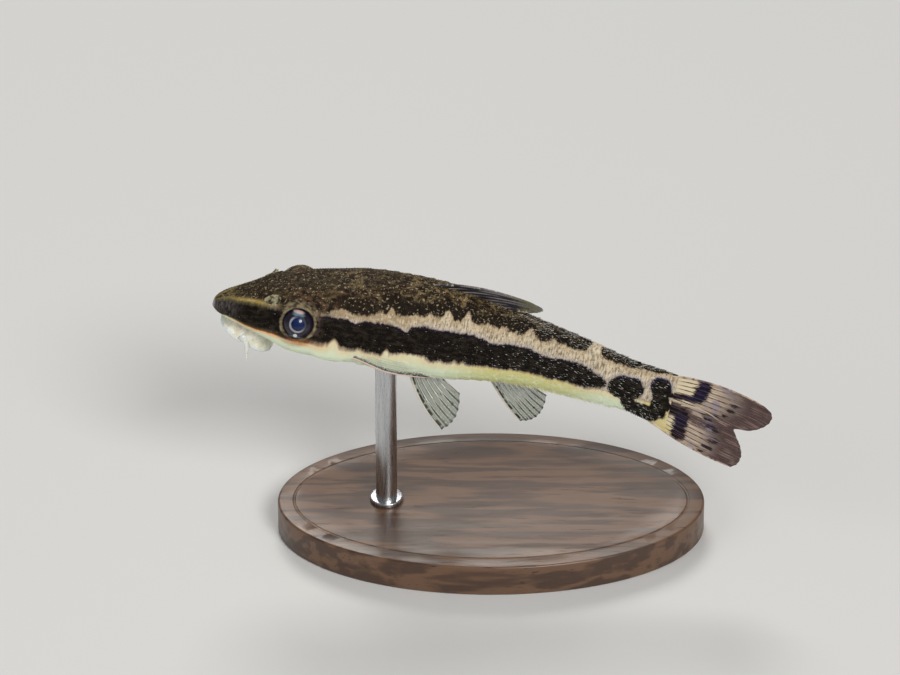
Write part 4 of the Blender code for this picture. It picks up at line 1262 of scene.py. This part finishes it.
# Fins: fans of rays from the first to the last, each by its root, its tip and the bulge of its middle.
finShapes = {
    "dorsal_fin": {
        "first": ((15.6, 0, 4.87), (23.2, 0, 5.15), (-0.4, 0, 0.40)),
        "last": ((19.6, 0, 3.7), (23.1, 0, 4.35), (0.0, 0, 0.10)),
        "count": 8, "spine": 0.11, "ray": 0.06, "scallop": 0.012,
        "margin": (
            (0.0, 23.2, 5.15), (0.25, 23.72, 5.02), (0.5, 23.9, 4.82), (0.8, 23.6, 4.55),
            (1.0, 23.1, 4.35),
        ),
    },
    "anal_fin": {
        "first": ((20.7, 0, -1.0), (24.3, 0, -5.0), (-0.1, 0, -0.3)),
        "last": ((22.7, 0, -0.8), (25.7, 0, -2.2), (0.0, 0, -0.1)),
        "count": 8, "scallop": 0.012, "tipBow": (0.5, 0, -0.5), "spine": 0.10, "ray": 0.045,
    },
    "caudal_fin": {
        "first": ((33.7, 0, 2.62), (41.6, 0, 3.15), (0.0, 0, 0.52)),
        "last": ((33.7, 0, -1.58), (40.4, 0, -2.80), (0.0, 0, -0.30)),
        "count": 16, "spine": 0.10, "ray": 0.060, "scallop": 0.006,
        # the rear margin, two rounded lobes: share of the way from the first ray, station and height
        "margin": (
            (0.0, 41.6, 3.15), (0.067, 42.2, 2.82), (0.133, 42.36, 2.4), (0.2, 42.27, 1.96),
            (0.267, 41.98, 1.5), (0.4, 40.95, 0.7), (0.48, 39.85, 0.36), (0.55, 40.15, -0.15),
            (0.667, 40.65, -0.85), (0.8, 40.92, -1.65), (0.9, 40.82, -2.3), (1.0, 40.4, -2.8),
        ),
    },
    "pelvic_fin": {
        "first": ((14.9, -2.2, -1.0), (18.5, -4.0, -4.8), (-0.3, 0, -0.35)),
        "last": ((16.7, -1.25, -1.2), (19.3, -2.2, -2.5), (0.0, 0, -0.1)),
        "count": 7, "scallop": 0.015, "tipBow": (0.5, 0, -0.35), "spine": 0.10, "ray": 0.045,
    },
}


pectoralFin = {
    "count": 7,
    "station": 10.1,
    "rootLength": 0.5,
    "length": 7.2,
    "shortening": 3.2,
    "angle": -15.0,
    "spread": 15.0,
    "turn": -3.0,
    "rootRise": -0.12,
    "lift": 0.42,
    "liftLoss": 0.2,
    "tipRise": 0.15,
    "scallop": 0.02,
    "spine": 0.085,
    "ray": 0.04,
}


# The rays: steps from root to tip, two forks as start, end and spread, joints, and how they thin.
rayLook = {
    "steps": 34,
    "sides": 7,
    "ends": {True: 0.99, False: 0.965},
    "forks": ((0.40, 0.78, 0.2), (0.70, 1.0, 0.1)),
    "branchStarts": (0.0, 0.70, 0.40, 0.70),
    "jointSpacing": 0.3,
    "jointRise": 0.14,
    "jointStart": 0.2,
    "thinning": 0.62,
    "branchThinning": (0.25, 0.4, 0.8),
}


# The skin between the rays: points from ray to ray, half its thickness, and how much of that goes at the tip.
membraneLook = {"perRay": 8, "half": 0.03, "thinning": 0.6}


def fanRays(shape):
    shares = np.linspace(0.0, 1.0, rayLook["steps"] + 1)[:, None]
    rays = []
    for share in np.linspace(0.0, 1.0, shape["count"]):
        root, tip, bulge = ((1 - share) * np.array(a, float) + share * np.array(b, float)
                            for a, b in zip(shape["first"], shape["last"]))
        if "margin" in shape:
            at, stations, heights = zip(*shape["margin"])
            tip = np.array([curveThrough(at, stations)(share), 0.0, curveThrough(at, heights)(share)])
        else:
            tip = tip + 4 * share * (1 - share) * np.array(shape["tipBow"])
        rays.append((1 - shares) * root + shares * tip + 4 * shares * (1 - shares) * bulge)
    return np.array(rays)


def pectoralRays():
    look = pectoralFin
    shares = np.linspace(0.0, 1.0, rayLook["steps"] + 1)
    rays = []
    for row in np.linspace(0.0, 1.0, look["count"]):
        length = look["length"] - look["shortening"] * row
        station = look["station"] + look["rootLength"] * row + shares * length
        angle = np.radians(look["angle"] + look["spread"] * row + look["turn"] * shares)
        lift = look["lift"] - look["liftLoss"] * row - look["rootRise"]
        off = look["rootRise"] + lift * smoothStep(shares, 0.0, 0.45) + look["tipRise"] * shares * (1 - row)
        rays.append(bodyPoint(station, angle, off))
    return np.array(rays)


def onSurface(rays, across, shares):
    # a point between the rays: across counts rays, shares runs from root to tip
    across = np.clip(across, 0, len(rays) - 1)
    i = np.minimum(across.astype(int), len(rays) - 2)
    f = (across - i)[:, None]
    k = np.clip(shares, 0, 1) * (rays.shape[1] - 1)
    low = np.minimum(k.astype(int), rays.shape[1] - 2)
    g = (k - low)[:, None]
    first = rays[i, low] * (1 - g) + rays[i, low + 1] * g
    second = rays[i + 1, low] * (1 - g) + rays[i + 1, low + 1] * g
    return first * (1 - f) + second * f


def finMembrane(rays, shape):
    # the thin skin between the rays, drawn in a little between their tips
    per = membraneLook["perRay"]
    count = (len(rays) - 1) * per + 1
    across = np.arange(count) / per
    shares = np.linspace(0, 1, rayLook["steps"] + 1)
    between = np.abs(across - np.round(across)) * 2
    # a fin with a curved margin is drawn afresh between its rays, so that the margin stays round
    curved = "margin" in shape
    dense = fanRays({**shape, "count": count}) if curved else rays
    grid = []
    for k, (a, b) in enumerate(zip(across, between)):
        reach = 1 - shape["scallop"] * b ** 1.5
        grid.append(onSurface(dense, np.full(len(shares), k if curved else a, float), shares * reach))
    grid = np.array(grid)
    normals = unit(np.cross(np.gradient(grid, axis=0), np.gradient(grid, axis=1)))
    half = (membraneLook["half"] * (1 - membraneLook["thinning"] * shares))[None, :, None]
    upper, lower = grid + half * normals, grid - half * normals
    rows, columns = grid.shape[:2]
    below = rows * columns
    faces = []
    for i in range(rows - 1):
        for j in range(columns - 1):
            a, b = i * columns + j, i * columns + j + 1
            c, d = a + columns, b + columns
            faces += [(a, b, d, c), (a + below, c + below, d + below, b + below)]
    border = [i * columns for i in range(rows)] + [(rows - 1) * columns + j for j in range(1, columns)]
    border += [i * columns + columns - 1 for i in range(rows - 2, -1, -1)] + list(range(columns - 2, 0, -1))
    faces += [(a, a + below, b + below, b) for a, b in zip(border, border[1:] + border[:1])]
    points = np.concatenate([upper.reshape(-1, 3), lower.reshape(-1, 3)])
    along = np.tile(np.broadcast_to(shares, grid.shape[:2]).ravel(), 2)
    number = np.tile(np.repeat(across, columns), 2)
    return points, faces, {"solid": np.zeros(len(points)), "along": along, "rayNumber": number}


def finRayTubes(rays, shape):
    # jointed rays that fork twice towards their tips, and a thicker spine in front
    look = rayLook
    parts = []
    last = len(rays) - 1
    for i in range(last + 1):
        outer = i == 0 or (i == last and "margin" in shape)
        branches = [(0, 0)] if outer else [(-1, -1), (-1, 1), (1, -1), (1, 1)]
        for start, branch in zip(look["branchStarts"], branches):
            count = max(int(look["steps"] * (1 - start) * 1.6), 8)
            shares = np.linspace(start, look["ends"][outer], count)
            across = i + sum(side * spread * smoothStep(shares, low, high)
                             for side, (low, high, spread) in zip(branch, look["forks"]))
            length = np.linalg.norm(rays[i][-1] - rays[i][0])
            phase = np.modf(shares * length / look["jointSpacing"])[0]
            jointed = (phase < 0.3) * (shares > look["jointStart"])
            radii = shape["spine" if outer else "ray"] * (1 - look["thinning"] * shares)
            radii *= 1 + look["jointRise"] * jointed
            if not outer:
                loss, low, high = look["branchThinning"]
                radii *= 1 - loss * smoothStep(shares, low, high)
            radii *= smoothStep(1.0 - shares, -0.02, 0.06) * 0.75 + 0.25
            points, faces = tube(onSurface(rays, across, shares), radii, look["sides"], (0.02, 1, 0.01))
            along = np.append(np.repeat(shares, look["sides"]), [shares[0], shares[-1]])
            solid = np.ones(len(points))
            parts.append((points, faces, {"solid": solid, "along": along, "rayNumber": i * solid}))
    return parts


finColours = {
    "clearRay": (0.78, 0.80, 0.68),
    "clearSkin": (0.12, 0.15, 0.095),
    "seam": (0.040, 0.048, 0.030),
    "smudge": (0.022, 0.020, 0.018),
    "speck": (0.17, 0.18, 0.165),
    "paleSpine": (0.66, 0.60, 0.50),
    "pinkSpine": (0.66, 0.50, 0.40),
    "dorsalDark": (0.014, 0.012, 0.015),
    "dorsalGrey": (0.085, 0.080, 0.090),
    "dorsalPale": (0.24, 0.21, 0.21),
    "dorsalOlive": (0.13, 0.125, 0.060),
    "dorsalDot": (0.55, 0.36, 0.17),
    "dorsalSpine": (0.42, 0.40, 0.30),
    "tail": (0.36, 0.28, 0.22),
    "tailPale": (0.66, 0.55, 0.40),
    "tailCream": (0.78, 0.69, 0.46),
    "tailYellow": (0.62, 0.52, 0.18),
    "tailLavender": (0.32, 0.27, 0.29),
    "tailRay": (0.090, 0.050, 0.045),
    "tailTip": (0.075, 0.044, 0.042),
    "tailTipPale": (0.20, 0.125, 0.105),
    "tailMiddle": (0.060, 0.030, 0.034),
    "tailEdge": (0.58, 0.43, 0.32),
    "blotch": (0.008, 0.006, 0.009),
    "blotchBlue": (0.009, 0.009, 0.030),
    "blotchStreak": (0.085, 0.050, 0.055),
}


def finRecipe(name, roughness, specular):
    # a fin's material and what all fins read: place, share along the ray, its number, ray or skin, outer ray
    r = Recipe(name, finColours, Roughness=roughness, Specular_IOR_Level=specular)
    fields = [r.attribute(key) for key in ("along", "rayNumber", "solid")]
    return r, r.fishPlace(), *fields, r.step(r.attribute("outerEdge"), 0.4, 0.9)


def clearFinMaterial():
    # clear skin and thin pale rays, with a few dark smudges and a pale spine with black dashes behind it
    r, place, along, number, solid, spine = finRecipe("Clear fin", 0.4, 0.2)
    fine = r.noise(place, 3.0, 3.0)
    lengthwise = r.vector(along * 3.0, number * 1.2)
    smudge = r.step(r.noise(lengthwise, 1.6, 3.0) + fine * 0.5, 0.13, 0.19)
    dash = r.noise(r.vector(along * 8.0, 0.0), 1.0, 2.0)
    dash = r.step(dash, -0.07, 0.0) * r.step(number, 0.62, 0.48) * (1.0 - spine)
    dark = r.calc("MAXIMUM", smudge * 0.85, dash) * (1.0 - spine * 0.6)
    # the skin is darker beside each ray
    seam = r.calc("ABSOLUTE", r.calc("FRACT", number) - 0.5)
    seam = r.step(seam, 0.26, 0.42) * (1.0 - solid)
    skin = r.mix(seam, "clearSkin", "seam")
    colour = r.mix(solid, skin, r.mix(r.step(fine, -0.24, -0.08), "clearSkin", "clearRay"))
    colour = r.mix(spine, colour, "paleSpine")
    colour = r.mix(dark, colour, "smudge")
    r.give("Base Color", colour)
    alpha = r.between(solid, r.between(seam, 0.36, 0.70), 0.92) + dark * 0.5
    r.give("Alpha", r.calc("MINIMUM", alpha, 0.96))
    return r.material


def pectoralMaterial():
    # almost clear over the belly: a pinkish spine with a row of dark specks above it
    r, place, along, number, solid, outer = finRecipe("Faint fin", 0.45, 0.05)
    fine = r.noise(place, 8.0, 3.0)
    spine = outer * r.step(number, 0.5, 0.2)
    strip = r.step(number, 3.0, 1.2) * (1.0 - spine) * r.step(along, 1.0, 0.90)
    specks = strip * r.step(fine, -0.24, 0.02)
    darker = fine + r.step(along, 0.35, 0.80) * 0.12
    grey = r.mix(r.step(darker, 0.02, 0.16), "speck", "smudge")
    colour = r.mix(specks, r.mix(spine, "clearRay", "pinkSpine"), grey)
    r.give("Base Color", colour)
    alpha = r.calc("MAXIMUM", spine * r.step(along, 1.0, 0.75), specks * r.between(solid, 0.85, 0.45))
    r.give("Alpha", r.calc("MAXIMUM", alpha, 0.035))
    return r.material


def dorsalMaterial():
    # folded dark skin with long grey streaks, an olive tip and pale dots along its foot
    r, place, along, number, solid, outer = finRecipe("Folded dorsal fin", 0.4, 0.25)
    fine = r.noise(place, 4.0, 3.0)
    streaks = r.noise(r.vector(along * 2.2, number * 3.0), 1.0, 2.0)
    colour = r.mix(r.step(streaks, -0.02, 0.14), "dorsalDark", "dorsalGrey")
    rays = solid * r.step(streaks, -0.10, 0.06)
    colour = r.mix(rays * 0.75, colour, "dorsalPale")
    olive = r.step(along, 0.62, 0.95) * r.step(fine, -0.2, 0.1)
    colour = r.mix(olive, colour, "dorsalOlive")
    foot = r.step(number, 5.6, 6.6) * r.step(fine, 0.06, 0.12)
    colour = r.mix(foot, colour, "dorsalDot")
    spine = outer * r.step(fine, 0.05, 0.13)
    colour = r.mix(spine, colour, "dorsalSpine")
    r.give("Base Color", colour)
    clear = 0.96 - r.step(along, 0.7, 1.0) * 0.3
    r.give("Alpha", r.calc("MAXIMUM", solid * 0.95, clear))
    return r.material


def tailMaterial():
    # pale skin with brown rays, two blue-black blotches, rows of dots and darker tips
    r, place, along, number, solid, outer = finRecipe("Tail fin skin", 0.5, 0.08)
    fine = r.noise(place, 3.0, 3.0)
    soft = r.noise(place, 0.7, 2.0)
    lines = r.noise(r.vector(along * 2.5, number * 3.1), 1.0, 2.0)
    rough = fine * 0.5 + lines * 1.1
    blotch = r.step(r.attribute("dark") + rough, -0.16, 0.10)
    tip = r.step(along + lines * 0.35, 0.50, 0.80)
    clear = r.mix(r.step(lines, -0.10, 0.16), "tail", "tailPale")
    clear = r.mix(r.step(along, 0.38, 0.28) * 0.8, clear, "tailCream")
    low = r.step(number, 12.0, 13.5) * r.step(along, 0.30, 0.12)
    clear = r.mix(low, clear, "tailYellow")
    clear = r.mix(r.step(soft, -0.05, 0.12) * r.step(along, 0.4, 0.5), clear, "tailLavender")
    clear = r.mix(tip, clear, r.mix(r.step(lines, 0.02, 0.16), "tailTip", "tailTipPale"))
    ray = r.mix(r.step(fine, -0.1, 0.12), "tailRay", r.mix(0.5, "tailRay", "tail"))
    ray = r.mix(r.step(along, 0.24, 0.10), ray, "tailPale")
    ray = r.mix(tip * 0.75, ray, r.mix(r.step(lines, 0.0, 0.1), "tailTip", "tail"))
    colour = r.mix(solid, clear, ray)
    middle = r.step(r.attribute("middle") + rough, -0.2, 0.15) * r.step(lines, 0.2, 0.0)
    colour = r.mix(middle * 0.9, colour, "tailMiddle")
    betweenRays = r.step(r.noise(r.vector(along * 4.0, number * 4.3), 1.0, 2.0), 0.04, 0.18)
    betweenRays = r.calc("MAXIMUM", betweenRays, solid * 0.6)
    deep = r.mix(r.step(soft, -0.04, 0.08), "blotch", "blotchBlue")
    streak = r.mix(betweenRays, deep, "blotchStreak")
    colour = r.mix(blotch, colour, streak)
    line = r.step(r.attribute("line"), -0.04, 0.03) * r.step(along, 0.95, 0.55)
    colour = r.mix(line * 0.85, colour, r.mix(r.step(fine, -0.1, 0.1), "tailEdge", "tailPale"))
    edge = outer * r.step(fine, -0.12, 0.10)
    colour = r.mix(edge * r.between(blotch, 0.8, 0.25), colour, "tailEdge")
    r.give("Base Color", colour)
    alpha = 0.94 - tip * 0.10
    r.give("Alpha", r.calc("MAXIMUM", solid * 0.97, r.calc("MAXIMUM", alpha, blotch)))
    return r.material


def buildFin(name, rays, shape, material):
    points, faces, fields = joined([finMembrane(rays, shape)] + finRayTubes(rays, shape))
    for key in ("dark", "middle", "line"):
        fields[key] = capsuleDepth(tailMarks[key], points[:, 0], points[:, 2])
    number, last = fields["rayNumber"], shape["count"] - 1
    fields["outerEdge"] = fields["solid"] * ((number < 0.01) | (number > last - 0.01))
    finishPiece(newPiece(name + "_rays", points, faces, fields), material, "fin", name)


def buildFins():
    clear, faint = clearFinMaterial(), pectoralMaterial()
    materials = {"dorsal_fin": dorsalMaterial(), "anal_fin": clear, "caudal_fin": tailMaterial()}
    for name, material in materials.items():
        buildFin(name, fanRays(finShapes[name]), finShapes[name], material)
    pelvic = finShapes["pelvic_fin"]
    for side, word in ((-1, "left"), (1, "right")):
        buildFin("pelvic_fin_" + word, mirrored(fanRays(pelvic), side), pelvic, clear)
        buildFin("pectoral_fin_" + word, mirrored(pectoralRays(), side), pectoralFin, faint)
    print("fins built")


# The stand, in metres.
standLook = {
    "length": 0.032,
    "width": 0.018,
    "height": 0.0025,
    "edge": 0.0005,
    "grooveInset": 0.0011,
    "grooveSize": 0.00012,
    "rodRadius": 0.0008,
    "rodSunk": 0.0008,
    "collarRadius": 0.00125,
    "collarHeight": 0.0004,
    "collarSunk": 0.00005,
    "collarEdge": 0.00012,
}


standColours = {
    "wood": (0.060, 0.028, 0.014),
    "woodPale": (0.135, 0.068, 0.034),
    "pore": (0.03, 0.014, 0.008),
    "steel": (0.50, 0.51, 0.53),
    "steelPale": (0.64, 0.65, 0.66),
}


def woodMaterial():
    r = Recipe("Oiled walnut", standColours, Roughness=0.42, Coat_Weight=0.25, Coat_Roughness=0.2)
    place = r.ownPlace()
    warp = r.noise(r.scaled(place, (60, 400, 400)), 1.0, 3.0)
    grain = r.noise(r.scaled(place, (90, 1500, 900)), 1.0, 5.0, 0.6)
    rings = r.calc("SINE", warp * 26.0 + grain * 6.0)
    colour = r.mix(r.step(rings, -0.9, 0.9), "wood", "woodPale")
    pores = r.noise(r.scaled(place, (500, 7000, 7000)), 1.0, 2.0)
    pores = r.step(pores, 0.12, 0.22)
    r.give("Base Color", r.mix(pores, colour, "pore"))
    r.give("Roughness", 0.42 + grain * 0.4)
    r.give("Normal", r.bump(grain - pores, 0.00002, 0.5))
    return r.material


def steelMaterial():
    r = Recipe("Brushed steel", standColours, Roughness=0.28, Metallic=1.0)
    place = r.ownPlace()
    brush = r.noise(r.scaled(place, (9000, 9000, 500)), 1.0, 3.0)
    r.give("Base Color", r.mix(r.step(brush, -0.2, 0.2), "steel", "steelPale"))
    r.give("Roughness", 0.28 + brush * 0.3)
    r.give("Normal", r.bump(brush, 0.000004, 0.6))
    return r.material


def addCylinder(name, vertices, radius, depth, place):
    bpy.ops.mesh.primitive_cylinder_add(vertices=vertices, radius=radius, depth=depth, location=place)
    piece = bpy.context.object
    piece.name = name
    return piece


def roundEdges(piece, width, segments, limit):
    rounding = piece.modifiers.new("rounded edges", "BEVEL")
    rounding.width, rounding.segments, rounding.angle_limit = width, segments, math.radians(limit)


def applyAll(piece):
    bpy.ops.object.select_all(action="DESELECT")
    piece.select_set(True)
    bpy.context.view_layer.objects.active = piece
    for modifier in list(piece.modifiers):
        bpy.ops.object.modifier_apply(modifier=modifier.name)
    bpy.ops.object.transform_apply(location=True, rotation=True, scale=True)


def settle(piece):
    # applies all that is on a piece, and shades it smooth except across its sharp edges
    applyAll(piece)
    bpy.ops.object.shade_smooth_by_angle(angle=math.radians(35))


def cutGroove(base, inset, size):
    # a fine groove in the top, a little inside its edge
    bpy.ops.object.mode_set(mode="EDIT")
    bpy.ops.mesh.select_mode(type="FACE")
    bpy.ops.mesh.select_all(action="DESELECT")
    bpy.ops.object.mode_set(mode="OBJECT")
    for face in base.data.polygons:
        face.select = face.normal.z > 0.9
    bpy.ops.object.mode_set(mode="EDIT")
    for thickness, depth in ((inset, 0), (size, -size), (size, size)):
        bpy.ops.mesh.inset(thickness=thickness, depth=depth)
    bpy.ops.object.mode_set(mode="OBJECT")


def buildStand():
    look = standLook
    height = look["height"]
    base = addCylinder("display_base", 160, 0.5, height, (0, 0, height / 2))
    base.scale = (look["length"], look["width"], 1)
    applyAll(base)
    cutGroove(base, look["grooveInset"], look["grooveSize"])
    roundEdges(base, look["edge"], 5, 60)
    settle(base)
    finishPiece(base, woodMaterial(), "base_wood", "stand_base")

    low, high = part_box("stand_rod")
    rodX, rodY = (low[0] + high[0]) / 2, (low[1] + high[1]) / 2
    rodLength = high[2] - height + look["rodSunk"]
    rod = addCylinder("display_rod", 48, look["rodRadius"], rodLength, (rodX, rodY, (high[2] + height) / 2))
    settle(rod)
    collarPlace = (rodX, rodY, height + look["collarHeight"] / 2 - look["collarSunk"])
    collar = addCylinder("rod_collar", 64, look["collarRadius"], look["collarHeight"], collarPlace)
    roundEdges(collar, look["collarEdge"], 4, 30)
    settle(collar)
    steel = steelMaterial()
    finishPiece(rod, steel, "rod_steel", "stand_rod")
    finishPiece(collar, steel, "rod_steel")
    print("stand built")


studio = {
    "floorColour": (0.66, 0.655, 0.64),
    "floorSize": 3.0,
    "world": (0.86, 0.90, 0.96),
    "worldStrength": 0.22,
    "lookAt": (-0.00308, 0.0, 0.01696),
    "elevation": math.radians(33.0),
    "distance": 0.5,
    "frameWidth": 0.06647,
    # place, size, power and colour of each soft light
    "lights": {
        "key": ((0.19, -0.40, 0.42), 0.24, 2.4, (1.0, 0.98, 0.95)),
        "fill": ((-0.50, -0.35, 0.35), 0.50, 1.2, (0.97, 0.98, 1.0)),
        "rim": ((-0.06, 0.38, 0.42), 0.24, 1.2, (1.0, 0.97, 0.92)),
    },
}


def pointAt(thing, target):
    direction = Vector(target) - thing.location
    thing.rotation_euler = direction.to_track_quat("-Z", "Y").to_euler()


def buildStudio():
    bpy.ops.object.select_all(action="DESELECT")
    bpy.ops.mesh.primitive_plane_add(size=studio["floorSize"], location=(0, 0, 0))
    floor = bpy.context.object
    floor.name = "floor"
    r = Recipe("Pale floor", studio, Roughness=0.6)
    r.give("Base Color", "floorColour")
    floor.data.materials.append(r.material)
    scene = bpy.context.scene
    world = bpy.data.worlds.new("soft room")
    scene.world = world
    world.use_nodes = True
    background = world.node_tree.nodes["Background"]
    background.inputs["Color"].default_value = (*studio["world"], 1)
    background.inputs["Strength"].default_value = studio["worldStrength"]
    for name, (place, size, power, colour) in studio["lights"].items():
        lamp = bpy.data.lights.new(name, "AREA")
        lamp.shape, lamp.size, lamp.energy, lamp.color = "DISK", size, power, colour
        light = bpy.data.objects.new(name, lamp)
        light.location = place
        pointAt(light, studio["lookAt"])
        light.visible_camera = False
        light.visible_glossy = name != "fill"
        scene.collection.objects.link(light)
    camera = bpy.data.objects.new("camera", bpy.data.cameras.new("camera"))
    scene.collection.objects.link(camera)
    distance, elevation = studio["distance"], studio["elevation"]
    camera.data.sensor_width = 36.0
    camera.data.lens = 36.0 * distance / studio["frameWidth"]
    camera.data.clip_start, camera.data.clip_end = 0.01, 10.0
    back = Vector((0, -math.cos(elevation), math.sin(elevation)))
    camera.location = Vector(studio["lookAt"]) + distance * back
    pointAt(camera, studio["lookAt"])
    scene.camera = camera
    scene.view_settings.view_transform = "Standard"
    print("studio built")


buildStudio()
buildSkin()
wetEye = eyeMaterial()
buildEye(-1, "left", wetEye)
buildEye(1, "right", wetEye)
buildMouth()
buildFins()
buildStand()
